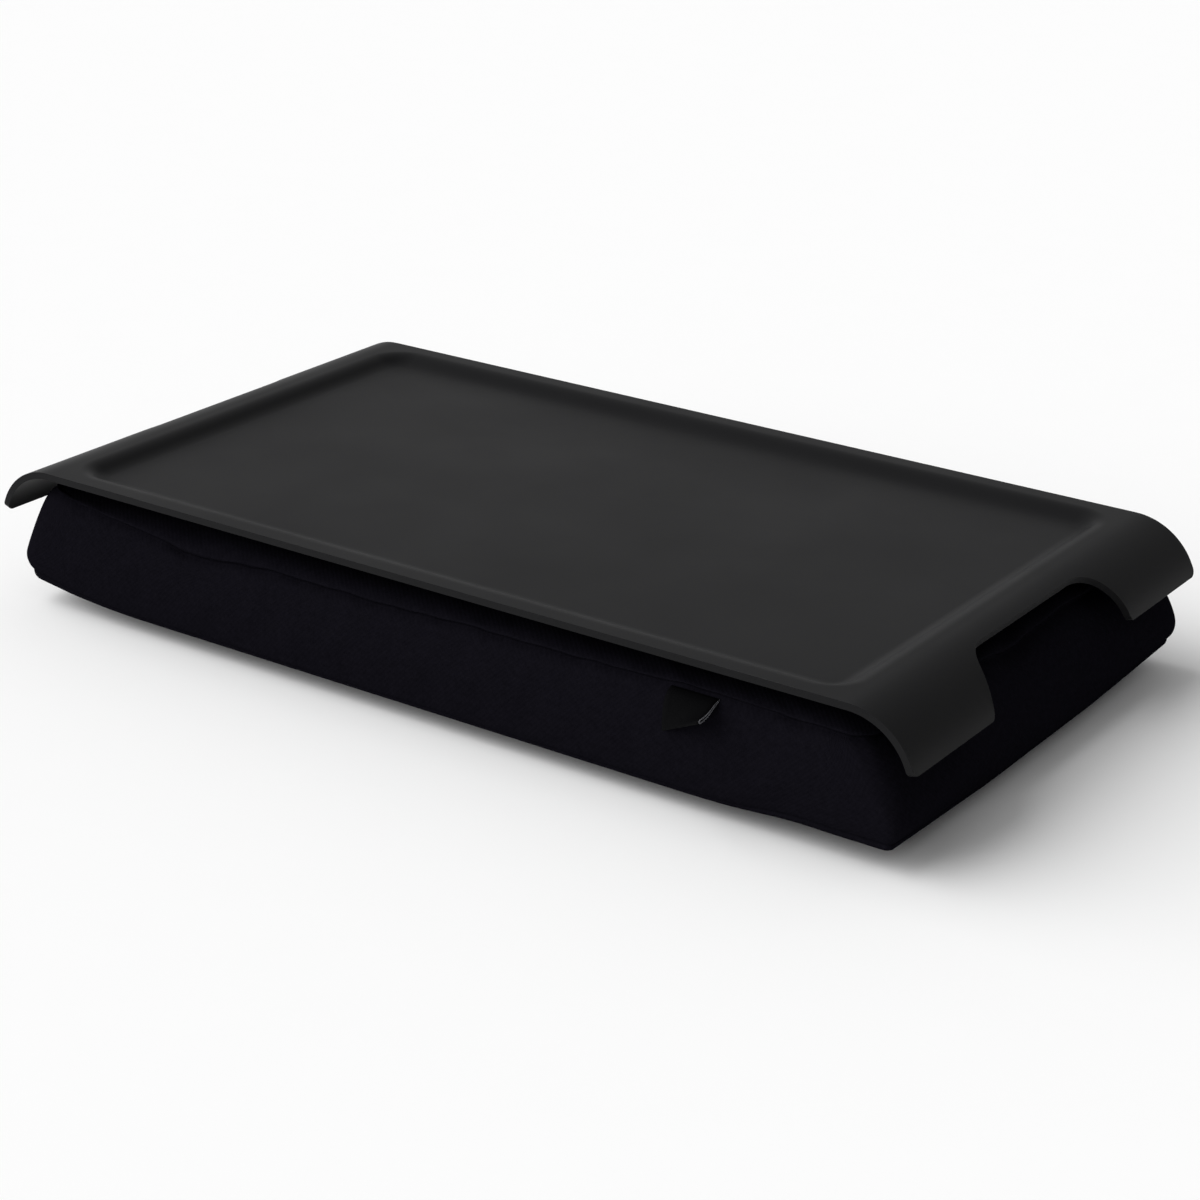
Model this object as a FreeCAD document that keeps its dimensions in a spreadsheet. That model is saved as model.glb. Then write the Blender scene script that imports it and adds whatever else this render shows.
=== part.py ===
import FreeCAD, Part
import math
import os

import Sketcher
from FreeCAD import Rotation, Vector

# Lap tray with a cushion.
# Origin: middle of the footprint, on the surface that the cushion rests on.
# +X runs along the tray towards its right end, -Y is the front, +Z is up. All sizes are in mm.

doc = FreeCAD.newDocument("LapTray")

# Driving dimensions

SIZES = [
    # Tray: a moulded sheet with a recessed panel and curled-down ends
    ("tray_length", 430),
    ("tray_depth", 225),
    ("rim_height", 60),
    ("tray_wall", 2.8),
    ("wing_radius", 28),
    ("wing_sweep", 74.5),
    ("rim_width", 9.5),
    ("end_rim_width", 6.5),
    ("recess_depth", 4),
    ("recess_run", 5.5),
    ("recess_corner", 13),
    ("crest_round", 10),
    ("foot_round", 10),
    ("notch_mouth", 110),
    ("notch_reach", 17.7),
    ("notch_corner", 16),
    ("notch_flare", 33),
    ("tip_round", 3),
    ("notch_lip_round", 2),
    ("edge_round", 0.8),
    # Hook and loop pads between the tray and the cushion
    ("pad_length", 60),
    ("pad_width", 25),
    ("pad_corner", 3),
    ("pad_end_margin", 40),
    ("pad_side_margin", 18),
    ("hook_thickness", 1.2),
    ("loop_thickness", 1.2),
    # Cushion form, from the base up
    ("cushion_end_inset", 6),
    ("cushion_side_overhang", 1),
    ("cushion_corner", 12),
    ("base_margin", 15),
    ("heel_margin", 4.5),
    ("heel_height", 4.4),
    ("bottom_seam_height", 8.2),
    ("bottom_seam_end_inset", 1.5),
    ("bottom_seam_side_inset", 1.5),
    ("belly_height", 24),
    ("top_seam_end_inset", 12),
    ("top_seam_side_inset", 2.5),
    ("crown_height", 5.3),
    ("crown_margin", 22),
    ("shoulder_margin", 8),
    ("shoulder_drop", 1.6),
    # Layers of the cushion
    ("cover_wall", 1.2),
    ("liner_wall", 0.6),
    ("layer_gap", 0.3),
    # Concealed zip in the rear side
    ("zip_end_margin", 5),
    ("zip_gap", 1.6),
    ("tape_width", 11),
    ("tape_thickness", 0.5),
    ("coil_radius", 1),
    ("coil_end_margin", 4),
    ("stop_length", 2),
    ("slider_length", 10),
    ("slider_wall", 1),
    ("slider_clearance", 0.3),
    ("eye_radius", 1.5),
    ("pin_radius", 0.7),
    ("pin_clearance", 0.05),
    ("ear_thickness", 1.2),
    ("lug_reach", 4),
    ("pull_length", 22),
    ("pull_width", 6),
    ("pull_thickness", 1.2),
    # Folded label in the front top seam
    ("label_offset", 126),
    ("label_width", 20),
    ("label_drop", 13),
    ("label_wall", 0.5),
    ("label_fold", 1.6),
    ("label_tilt", 16),
]

sheet = doc.addObject("Spreadsheet::Sheet", "Sizes")
for row, (alias, size) in enumerate(SIZES, start=1):
    sheet.set("A%d" % row, alias)
    sheet.set("B%d" % row, str(size))
    sheet.setAlias("B%d" % row, alias)
doc.recompute()

# Derived places, as expressions of the driving dimensions

WING_START = "(Sizes.tray_length / 2 - Sizes.wing_radius * sin(Sizes.wing_sweep * 1 deg))"
CREST_X = "(%s - Sizes.end_rim_width)" % WING_START
CREST_Y = "(Sizes.tray_depth / 2 - Sizes.rim_width)"
UNDER_SHIFT = "(Sizes.tray_wall * tan(atan(Sizes.recess_depth / Sizes.recess_run) / 2))"
RIM_UNDERSIDE = "(Sizes.rim_height - Sizes.tray_wall)"
PANEL_TOP = "(Sizes.rim_height - Sizes.recess_depth)"
PANEL_UNDERSIDE = "(%s - Sizes.tray_wall)" % PANEL_TOP
LOOP_TOP = "(%s - Sizes.hook_thickness)" % PANEL_UNDERSIDE
CUSHION_TOP = "(%s - Sizes.loop_thickness)" % LOOP_TOP

BELLY_X = "(Sizes.tray_length / 2 - Sizes.cushion_end_inset)"
BELLY_Y = "(Sizes.tray_depth / 2 + Sizes.cushion_side_overhang)"
TOP_SEAM_X = "(%s - Sizes.top_seam_end_inset)" % BELLY_X
TOP_SEAM_Y = "(%s - Sizes.top_seam_side_inset)" % BELLY_Y
TOP_SEAM_Z = "(%s - Sizes.crown_height)" % CUSHION_TOP
BOTTOM_SEAM_X = "(%s - Sizes.bottom_seam_end_inset)" % BELLY_X
BOTTOM_SEAM_Y = "(%s - Sizes.bottom_seam_side_inset)" % BELLY_Y

# Depths behind the outer face of the rear side, and heights from the middle of the zip
SLIT_HALF = "(Sizes.zip_gap / 2)"
TAPE_BACK = "(Sizes.cover_wall + Sizes.layer_gap + Sizes.tape_thickness)"
COIL_DEPTH = "(%s + Sizes.layer_gap + Sizes.coil_radius)" % TAPE_BACK
COIL_OFFSET = "(%s + Sizes.coil_radius)" % SLIT_HALF
GUSSET_HALF = "(%s - Sizes.cushion_corner - Sizes.zip_end_margin)" % TOP_SEAM_X
COIL_HALF_LENGTH = "(%s - Sizes.coil_end_margin)" % GUSSET_HALF
SLIDER_FRONT = "(%s + Sizes.coil_radius + Sizes.slider_clearance)" % COIL_DEPTH
SLIDER_BACK = "(%s + Sizes.slider_wall)" % SLIDER_FRONT
SLIDER_REST = "(%s - Sizes.slider_length / 2 - Sizes.slider_clearance)" % COIL_HALF_LENGTH
NECK_HALF = "(%s - Sizes.slider_clearance)" % SLIT_HALF
PIN_STANDOFF = "(Sizes.eye_radius + Sizes.slider_clearance)"
EAR_INNER = "(%s + Sizes.slider_clearance)" % NECK_HALF
EAR_OUTER = "(%s + Sizes.ear_thickness)" % EAR_INNER
CHANNEL_DEPTH = "(%s + 2 * Sizes.slider_clearance)" % SLIDER_BACK
CHANNEL_HALF = "(%s + Sizes.tape_width + Sizes.layer_gap)" % SLIT_HALF

# Flat strips that make up each rounded side of the cover, and of the liner and the fill inside it
COVER_STRIPS = 4
FILL_STRIPS = 2

nodes = []


def value(expression):
    """The number that an expression of the sheet gives now."""
    return float(sheet.evalExpression(expression))


def node(piece, label):
    """Name a finished piece and list it for writing."""
    piece.Label = label
    nodes.append(piece)
    return piece


def place(piece, x="0", y="0", z="0"):
    """Bind a piece's position to the sheet."""
    piece.setExpression("Placement.Base.x", x)
    piece.setExpression("Placement.Base.y", y)
    piece.setExpression("Placement.Base.z", z)


# Sketch helpers

def origin_plane(body, role):
    return next(feature for feature in body.Origin.OriginFeatures if feature.Role == role)


def body_sketch(body, name, role, height="0"):
    """A sketch on one of the body's origin planes, lifted off it by a bound height."""
    sketch = body.newObject("Sketcher::SketchObject", name)
    sketch.AttachmentSupport = [(origin_plane(body, role), "")]
    sketch.MapMode = "FlatFace"
    sketch.setExpression("AttachmentOffset.Base.z", height)
    return sketch


def dimension(sketch, name, expression, kind, *points):
    """Add a named dimension and bind it to the sheet."""
    index = sketch.addConstraint(Sketcher.Constraint(kind, *points, value(expression)))
    sketch.renameConstraint(index, name)
    sketch.setExpression("Constraints.%s" % name, expression)


def line(sketch, start, end):
    return sketch.addGeometry(Part.LineSegment(Vector(*start, 0), Vector(*end, 0)))


def arc(sketch, centre, radius, start_degrees, end_degrees):
    circle = Part.Circle(Vector(*centre, 0), Vector(0, 0, 1), radius)
    ends = (math.radians(start_degrees), math.radians(end_degrees))
    return sketch.addGeometry(Part.ArcOfCircle(circle, *ends))


def join(sketch, kind, *pairs):
    """Join the end points of neighbouring lines and arcs."""
    for first, first_point, second, second_point in pairs:
        sketch.addConstraint(Sketcher.Constraint(kind, first, first_point, second, second_point))


def level(sketch, horizontal=(), vertical=()):
    for index in horizontal:
        sketch.addConstraint(Sketcher.Constraint("Horizontal", index))
    for index in vertical:
        sketch.addConstraint(Sketcher.Constraint("Vertical", index))


def rounded_rectangle(sketch, half_x, half_y, corner):
    """A rounded rectangle about the sketch's origin."""
    x, y, r = value(half_x), value(half_y), value(corner)
    front = line(sketch, (r - x, -y), (x - r, -y))
    right = line(sketch, (x, r - y), (x, y - r))
    back = line(sketch, (x - r, y), (r - x, y))
    left = line(sketch, (-x, y - r), (-x, r - y))
    front_right = arc(sketch, (x - r, r - y), r, 270, 360)
    back_right = arc(sketch, (x - r, y - r), r, 0, 90)
    back_left = arc(sketch, (r - x, y - r), r, 90, 180)
    front_left = arc(sketch, (r - x, r - y), r, 180, 270)
    join(sketch, "Tangent",
         (front, 2, front_right, 1), (front_right, 2, right, 1),
         (right, 2, back_right, 1), (back_right, 2, back, 1),
         (back, 2, back_left, 1), (back_left, 2, left, 1),
         (left, 2, front_left, 1), (front_left, 2, front, 1))
    level(sketch, horizontal=(front, back), vertical=(left, right))
    for other in (back_right, back_left, front_left):
        sketch.addConstraint(Sketcher.Constraint("Equal", front_right, other))
    sketch.addConstraint(Sketcher.Constraint("Symmetric", front, 1, back, 1, -1, 1))
    dimension(sketch, "half_x", half_x, "DistanceX", -1, 1, right, 1)
    dimension(sketch, "half_y", half_y, "DistanceY", -1, 1, back, 1)
    dimension(sketch, "corner", corner, "Radius", front_right)


def polygon(sketch, *corners):
    """A closed outline through corners, each given by two expressions."""
    points = [(value(u), value(v)) for u, v in corners]
    count = len(points)
    sides = [line(sketch, points[i], points[(i + 1) % count]) for i in range(count)]
    join(sketch, "Coincident", *[(sides[i - 1], 2, sides[i], 1) for i in range(count)])
    for i, (u, v) in enumerate(corners):
        dimension(sketch, "u%d" % i, u, "DistanceX", -1, 1, sides[i], 1)
        dimension(sketch, "v%d" % i, v, "DistanceY", -1, 1, sides[i], 1)


# Feature helpers

def pad(body, sketch, length, symmetric=False, kind="PartDesign::Pad"):
    feature = body.newObject(kind, sketch.Name + "_extrusion")
    feature.Profile = sketch
    feature.SideType = "Symmetric" if symmetric else "One side"
    feature.setExpression("Length", length)
    doc.recompute()
    return feature


def loft_feature(body, kind, name, first, last):
    feature = body.newObject(kind, name)
    feature.Profile = first
    feature.Sections = [last]
    feature.Ruled = True
    doc.recompute()
    return feature


def fillet(body, name, radius, wanted):
    """Round the edges of the body's last feature for which wanted(edge) is true."""
    base = body.Tip
    names = ["Edge%d" % (i + 1) for i, edge in enumerate(base.Shape.Edges) if wanted(edge)]
    if not names:
        raise ValueError("no edges found for " + name)
    feature = body.newObject("PartDesign::Fillet", name)
    feature.Base = (base, names)
    feature.setExpression("Radius", radius)
    doc.recompute()
    return feature


def box(name, x, y, z):
    """A box between two bound limits on each axis."""
    piece = doc.addObject("Part::Box", name)
    for side, (low, high) in zip(("Length", "Width", "Height"), (x, y, z)):
        piece.setExpression(side, "%s - (%s)" % (high, low))
    place(piece, x[0], y[0], z[0])
    return piece


def combine(kind, name, base, tool):
    piece = doc.addObject(kind, name)
    piece.Base = base
    piece.Tool = tool
    return piece


# Tray

def wing_profile(body):
    """Section of the tray along its length: flat in the middle, both ends curled down."""
    sketch = body_sketch(body, "wing_profile", "XZ_Plane")
    start, top = value(WING_START), value("Sizes.rim_height")
    radius, wall = value("Sizes.wing_radius"), value("Sizes.tray_wall")
    sweep = value("Sizes.wing_sweep")
    centre_z = top - radius
    turn = math.radians(90 - sweep)

    def tip(side, reach):
        return side * (start + reach * math.cos(turn)), centre_z + reach * math.sin(turn)

    upper = line(sketch, (-start, top), (start, top))
    right_outer = arc(sketch, (start, centre_z), radius, 90 - sweep, 90)
    right_tip = line(sketch, tip(1, radius), tip(1, radius - wall))
    right_inner = arc(sketch, (start, centre_z), radius - wall, 90 - sweep, 90)
    lower = line(sketch, (start, top - wall), (-start, top - wall))
    left_inner = arc(sketch, (-start, centre_z), radius - wall, 90, 90 + sweep)
    left_tip = line(sketch, tip(-1, radius - wall), tip(-1, radius))
    left_outer = arc(sketch, (-start, centre_z), radius, 90, 90 + sweep)
    join(sketch, "Tangent",
         (upper, 2, right_outer, 2), (right_inner, 2, lower, 1),
         (lower, 2, left_inner, 1), (left_outer, 1, upper, 1))
    join(sketch, "Coincident",
         (right_outer, 1, right_tip, 1), (right_tip, 2, right_inner, 1),
         (left_inner, 2, left_tip, 1), (left_tip, 2, left_outer, 2),
         (right_outer, 3, right_inner, 3), (left_outer, 3, left_inner, 3))
    level(sketch, horizontal=(upper, lower))
    sketch.addConstraint(Sketcher.Constraint("Equal", right_outer, left_outer))
    sketch.addConstraint(Sketcher.Constraint("PointOnObject", right_outer, 3, right_tip))
    sketch.addConstraint(Sketcher.Constraint("PointOnObject", left_outer, 3, left_tip))
    dimension(sketch, "wing_radius", "Sizes.wing_radius", "Radius", right_outer)
    dimension(sketch, "wall", "Sizes.tray_wall", "DistanceY", lower, 1, upper, 2)
    dimension(sketch, "rim_height", "Sizes.rim_height", "DistanceY", -1, 1, upper, 2)
    dimension(sketch, "right_start", WING_START, "DistanceX", -1, 1, right_outer, 3)
    dimension(sketch, "left_start", WING_START, "DistanceX", left_outer, 3, -1, 1)
    dimension(sketch, "right_end", "Sizes.tray_length / 2", "DistanceX", -1, 1, right_tip, 1)
    dimension(sketch, "left_end", "Sizes.tray_length / 2", "DistanceX", left_tip, 2, -1, 1)
    return sketch


def recess_outline(body, name, height, inset, shift="0"):
    sketch = body_sketch(body, name, "XY_Plane", height)
    rounded_rectangle(sketch,
                      "%s - %s + %s" % (CREST_X, inset, shift),
                      "%s - %s + %s" % (CREST_Y, inset, shift),
                      "Sizes.recess_corner - %s + %s" % (inset, shift))
    return sketch


def notch_outline(body):
    """Plan of the right hand notch: straight inner edge, round corners, flared sides."""
    sketch = body_sketch(body, "notch_outline", "XY_Plane")
    inner = "(Sizes.tray_length / 2 - Sizes.notch_reach)"
    outer = "(Sizes.tray_length / 2 + Sizes.tip_round)"
    flare = "(Sizes.notch_flare * 1 deg)"
    mouth = "(Sizes.notch_mouth / 2 + Sizes.tip_round * tan(%s))" % flare
    run = "(%s - %s)" % (outer, inner)
    tangent = "(Sizes.notch_corner * tan(45 deg - %s / 2))" % flare
    straight = "(%s - %s * tan(%s) - %s)" % (mouth, run, flare, tangent)
    angle = value("Sizes.notch_flare")
    radius = value("Sizes.notch_corner")
    centre = (value(inner) + radius, value(straight))
    meet = (centre[0] - radius * math.sin(math.radians(angle)),
            centre[1] + radius * math.cos(math.radians(angle)))

    edge = line(sketch, (value(inner), -centre[1]), (value(inner), centre[1]))
    rear_corner = arc(sketch, centre, radius, 90 + angle, 180)
    rear_side = line(sketch, meet, (value(outer), value(mouth)))
    close = line(sketch, (value(outer), value(mouth)), (value(outer), -value(mouth)))
    front_side = line(sketch, (value(outer), -value(mouth)), (meet[0], -meet[1]))
    front_corner = arc(sketch, (centre[0], -centre[1]), radius, 180, 270 - angle)
    join(sketch, "Tangent",
         (edge, 2, rear_corner, 2), (rear_corner, 1, rear_side, 1),
         (front_side, 2, front_corner, 2), (front_corner, 1, edge, 1))
    join(sketch, "Coincident", (rear_side, 2, close, 1), (close, 2, front_side, 1))
    level(sketch, vertical=(edge, close))
    sketch.addConstraint(Sketcher.Constraint("Equal", rear_corner, front_corner))
    dimension(sketch, "inner_edge", inner, "DistanceX", -1, 1, edge, 1)
    dimension(sketch, "outer_edge", outer, "DistanceX", -1, 1, close, 1)
    dimension(sketch, "rear_mouth", mouth, "DistanceY", -1, 1, close, 1)
    dimension(sketch, "front_mouth", mouth, "DistanceY", close, 2, -1, 1)
    dimension(sketch, "corner", "Sizes.notch_corner", "Radius", rear_corner)
    dimension(sketch, "rear_straight", straight, "DistanceY", -1, 1, edge, 2)
    dimension(sketch, "front_straight", straight, "DistanceY", edge, 1, -1, 1)
    return sketch


def on_outline(height, half_x, half_y):
    """A test for edges that lie at one height, inside the given half sizes."""
    slack = 0.01

    def wanted(edge):
        limits = edge.BoundBox
        at_height = abs(limits.ZMin - height) < slack and abs(limits.ZMax - height) < slack
        inside = max(-limits.XMin, limits.XMax) < half_x + slack
        return at_height and inside and max(-limits.YMin, limits.YMax) < half_y + slack
    return wanted


def sharp(shape):
    """A test for the edges where two faces of the shape meet at an angle."""
    least_turn = 20

    def wanted(edge):
        middle = edge.valueAt((edge.FirstParameter + edge.LastParameter) / 2)
        normals = []
        for face in shape.ancestorsOfType(edge, Part.Face):
            normals.append(face.normalAt(*face.Surface.parameter(middle)))
        return len(normals) == 2 and math.degrees(normals[0].getAngle(normals[1])) > least_turn
    return wanted


def tray():
    body = doc.addObject("PartDesign::Body", "Tray")
    pad(body, wing_profile(body), "Sizes.tray_depth", symmetric=True)

    floor_top = recess_outline(body, "floor_top", RIM_UNDERSIDE, "0", UNDER_SHIFT)
    floor_base = recess_outline(body, "floor_base", PANEL_UNDERSIDE, "Sizes.recess_run", UNDER_SHIFT)
    loft_feature(body, "PartDesign::AdditiveLoft", "floor", floor_top, floor_base)
    recess_top = recess_outline(body, "recess_top", "Sizes.rim_height", "0")
    recess_base = recess_outline(body, "recess_base", PANEL_TOP, "Sizes.recess_run")
    loft_feature(body, "PartDesign::SubtractiveLoft", "recess", recess_top, recess_base)

    reach = value(UNDER_SHIFT)
    limits = (value(CREST_X) + reach, value(CREST_Y) + reach)
    fillet(body, "crest", "Sizes.crest_round",
           on_outline(value("Sizes.rim_height"), *limits))
    fillet(body, "foot", "Sizes.foot_round", on_outline(value(PANEL_TOP), *limits))
    fillet(body, "under_crest", "Sizes.crest_round - Sizes.tray_wall",
           on_outline(value(RIM_UNDERSIDE), *limits))
    fillet(body, "under_foot", "Sizes.foot_round + Sizes.tray_wall",
           on_outline(value(PANEL_UNDERSIDE), *limits))

    right_notch = body.newObject("PartDesign::Pocket", "right_notch")
    right_notch.Profile = notch_outline(body)
    right_notch.Type = "ThroughAll"
    right_notch.Reversed = True
    both_notches = body.newObject("PartDesign::Mirrored", "both_notches")
    both_notches.Originals = [right_notch]
    both_notches.MirrorPlane = (origin_plane(body, "YZ_Plane"), [""])
    body.Tip = both_notches
    doc.recompute()

    wing_start = value(WING_START)
    thickness = value("Sizes.tray_wall")
    corner_y = value("Sizes.tray_depth") / 2
    middle_y = (corner_y + value("Sizes.notch_mouth") / 2) / 2
    turn = math.radians(value("Sizes.wing_sweep"))
    low = value("Sizes.rim_height") - value("Sizes.wing_radius") * (1 - math.cos(turn))

    def across_tip(edge):
        spot = edge.CenterOfMass
        short = edge.Length < 2 * thickness
        return short and abs(spot.x) > wing_start and abs(spot.z - low) < thickness

    fillet(body, "tip_corners", "Sizes.tip_round",
           lambda edge: across_tip(edge) and abs(edge.CenterOfMass.y) > middle_y)
    fillet(body, "notch_lips", "Sizes.notch_lip_round",
           lambda edge: across_tip(edge) and abs(edge.CenterOfMass.y) < middle_y)
    fillet(body, "edges", "Sizes.edge_round", sharp(body.Tip.Shape))
    return node(body, "tray")


# Hook and loop pads

def fastener_pads():
    across = "(%s - Sizes.recess_run - Sizes.pad_end_margin - Sizes.pad_length / 2)" % CREST_X
    along = "(%s - Sizes.recess_run - Sizes.pad_side_margin - Sizes.pad_width / 2)" % CREST_Y
    layers = (("hook_pad", LOOP_TOP, "Sizes.hook_thickness"),
              ("loop_pad", CUSHION_TOP, "Sizes.loop_thickness"))
    for kind, height, thickness in layers:
        for row, y_sign in (("front", "-1"), ("rear", "1")):
            for side, x_sign in (("left", "-1"), ("right", "1")):
                label = "%s_%s_%s" % (kind, row, side)
                body = doc.addObject("PartDesign::Body", label)
                sketch = body_sketch(body, label + "_outline", "XY_Plane")
                rounded_rectangle(sketch, "Sizes.pad_length / 2", "Sizes.pad_width / 2",
                                  "Sizes.pad_corner")
                pad(body, sketch, thickness)
                place(body, "%s * %s" % (x_sign, across), "%s * %s" % (y_sign, along), height)
                node(body, label)


# Cushion

def section(name, height, half_x, half_y, inset):
    """A level outline of the cushion, drawn in by an inset."""
    sketch = doc.addObject("Sketcher::SketchObject", name)
    rounded_rectangle(sketch, "%s - %s" % (half_x, inset), "%s - %s" % (half_y, inset),
                      "Sizes.cushion_corner - %s" % inset)
    place(sketch, z=height)
    return sketch


def drawn_in(half, margin):
    return "(%s - %s)" % (half, margin)


def through(keys, share):
    """The value at a share of the way along a smooth curve through three expressions."""
    weights = ((1 - share) * (1 - 2 * share), 4 * share * (1 - share), share * (2 * share - 1))
    return "(%s)" % " + ".join("%g * (%s)" % pair for pair in zip(weights, keys))


def loft(name, strips, inset, *outlines):
    """A solid through level outlines that follow a smooth curve through three given ones."""
    sections = []
    for step in range(strips + 1):
        height, half_x, half_y = [through(keys, step / strips) for keys in zip(*outlines)]
        sections.append(section("%s_%d" % (name, step), height, half_x, half_y, inset))
    piece = doc.addObject("Part::Loft", name)
    piece.Sections = sections
    piece.Solid = True
    piece.Ruled = True
    return piece


def band_form(name, inset, strips=COVER_STRIPS):
    """The side of the cushion between its two seams, widest at the belly."""
    return loft(name + "_band", strips, inset,
                ("Sizes.bottom_seam_height", BOTTOM_SEAM_X, BOTTOM_SEAM_Y),
                ("Sizes.belly_height", BELLY_X, BELLY_Y),
                (TOP_SEAM_Z, TOP_SEAM_X, TOP_SEAM_Y))


def top_form(name, inset, strips=COVER_STRIPS):
    """The crown above the top seam, flat where the tray bears on it."""
    return loft(name + "_top", strips, inset,
                (TOP_SEAM_Z, TOP_SEAM_X, TOP_SEAM_Y),
                ("%s - Sizes.shoulder_drop - %s" % (CUSHION_TOP, inset),
                 drawn_in(TOP_SEAM_X, "Sizes.shoulder_margin"),
                 drawn_in(TOP_SEAM_Y, "Sizes.shoulder_margin")),
                ("%s - %s" % (CUSHION_TOP, inset),
                 drawn_in(TOP_SEAM_X, "Sizes.crown_margin"),
                 drawn_in(TOP_SEAM_Y, "Sizes.crown_margin")))


def bottom_form(name, inset, strips=COVER_STRIPS):
    """The crown below the bottom seam, flat where it rests."""
    return loft(name + "_bottom", strips, inset,
                (inset,
                 drawn_in(BOTTOM_SEAM_X, "Sizes.base_margin"),
                 drawn_in(BOTTOM_SEAM_Y, "Sizes.base_margin")),
                ("Sizes.heel_height + %s" % inset,
                 drawn_in(BOTTOM_SEAM_X, "Sizes.heel_margin"),
                 drawn_in(BOTTOM_SEAM_Y, "Sizes.heel_margin")),
                ("Sizes.bottom_seam_height", BOTTOM_SEAM_X, BOTTOM_SEAM_Y))


def whole_form(name, inset):
    piece = doc.addObject("Part::MultiFuse", name)
    piece.Shapes = [form(name, inset, FILL_STRIPS) for form in (bottom_form, band_form, top_form)]
    return piece


def zip_channel(name, grow):
    """Room along the rear side for the zip, widened by a bound amount."""
    half_length = "(%s + %s)" % (GUSSET_HALF, grow)
    half_height = "(%s + %s)" % (CHANNEL_HALF, grow)
    return box(name,
               ("-" + half_length, half_length),
               ("%s - %s - %s" % (BELLY_Y, CHANNEL_DEPTH, grow), "2 * " + BELLY_Y),
               ("Sizes.belly_height - " + half_height, "Sizes.belly_height + " + half_height))


def cover():
    wall = "Sizes.cover_wall"
    node(combine("Part::Cut", "top_cut", top_form("outer", "0"), top_form("inner", wall)), "top_panel")
    node(combine("Part::Cut", "bottom_cut", bottom_form("outer", "0"), bottom_form("inner", wall)),
         "bottom_panel")
    ring = combine("Part::Cut", "ring", band_form("outer", "0"), band_form("inner", wall))
    gusset = ("-" + GUSSET_HALF, GUSSET_HALF)
    rear = ("0", "2 * " + BELLY_Y)
    slit_top = "Sizes.belly_height + " + SLIT_HALF
    slit_base = "Sizes.belly_height - " + SLIT_HALF
    node(combine("Part::Cut", "side_cut", ring, box("rear_side", gusset, rear, ("0", CUSHION_TOP))),
         "side_band")
    node(combine("Part::Common", "upper_strip", ring,
                 box("upper_side", gusset, rear, (slit_top, CUSHION_TOP))), "rear_band_upper")
    node(combine("Part::Common", "lower_strip", ring,
                 box("lower_side", gusset, rear, ("0", slit_base))), "rear_band_lower")


def liner_and_fill():
    liner = "(Sizes.cover_wall + Sizes.layer_gap)"
    liner_inside = "(%s + Sizes.liner_wall)" % liner
    fill = "(%s + Sizes.layer_gap)" % liner_inside
    outside = combine("Part::Cut", "liner_outside", whole_form("liner_form", liner),
                      zip_channel("liner_channel", "0"))
    inside = combine("Part::Cut", "liner_inside", whole_form("inside_form", liner_inside),
                     zip_channel("inside_channel", "Sizes.liner_wall"))
    node(combine("Part::Cut", "liner_shell", outside, inside), "liner_bag")
    node(combine("Part::Cut", "fill_mass", whole_form("fill_form", fill),
                 zip_channel("fill_channel", "(Sizes.liner_wall + Sizes.layer_gap)")), "bead_fill")


# Zip

def zip_tapes():
    front = "(Sizes.cover_wall + Sizes.layer_gap)"
    layer = combine("Part::Cut", "tape_layer", band_form("tape_front", front),
                    band_form("tape_back", TAPE_BACK))
    half_length = "(%s - Sizes.layer_gap)" % GUSSET_HALF
    for label, low, high in (
            ("zip_tape_upper", SLIT_HALF, "(%s + Sizes.tape_width)" % SLIT_HALF),
            ("zip_tape_lower", "-(%s + Sizes.tape_width)" % SLIT_HALF, "-%s" % SLIT_HALF)):
        room = box(label + "_room", ("-" + half_length, half_length), ("0", "2 * " + BELLY_Y),
                   ("Sizes.belly_height + " + low, "Sizes.belly_height + " + high))
        node(combine("Part::Common", label + "_strip", layer, room), label)


def zip_coils():
    for label, sign in (("zip_coil_upper", "1"), ("zip_coil_lower", "-1")):
        coil = doc.addObject("Part::Cylinder", label)
        coil.setExpression("Radius", "Sizes.coil_radius")
        coil.setExpression("Height", "2 * " + COIL_HALF_LENGTH)
        coil.Placement.Rotation = Rotation(Vector(0, 1, 0), 90)
        place(coil, "-" + COIL_HALF_LENGTH, "%s - %s" % (BELLY_Y, COIL_DEPTH),
              "Sizes.belly_height + %s * %s" % (sign, COIL_OFFSET))
        node(coil, label)


def zip_stops():
    half_height = "(%s + Sizes.coil_radius)" % COIL_OFFSET
    depth = ("%s - %s - Sizes.coil_radius" % (BELLY_Y, COIL_DEPTH),
             "%s - %s + Sizes.coil_radius" % (BELLY_Y, COIL_DEPTH))
    height = ("Sizes.belly_height - " + half_height, "Sizes.belly_height + " + half_height)
    inner, outer = COIL_HALF_LENGTH, "(%s + Sizes.stop_length)" % COIL_HALF_LENGTH
    node(box("stop_right", (inner, outer), depth, height), "zip_stop_closed")
    node(box("stop_left", ("-" + outer, "-" + inner), depth, height), "zip_stop_open")


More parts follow.
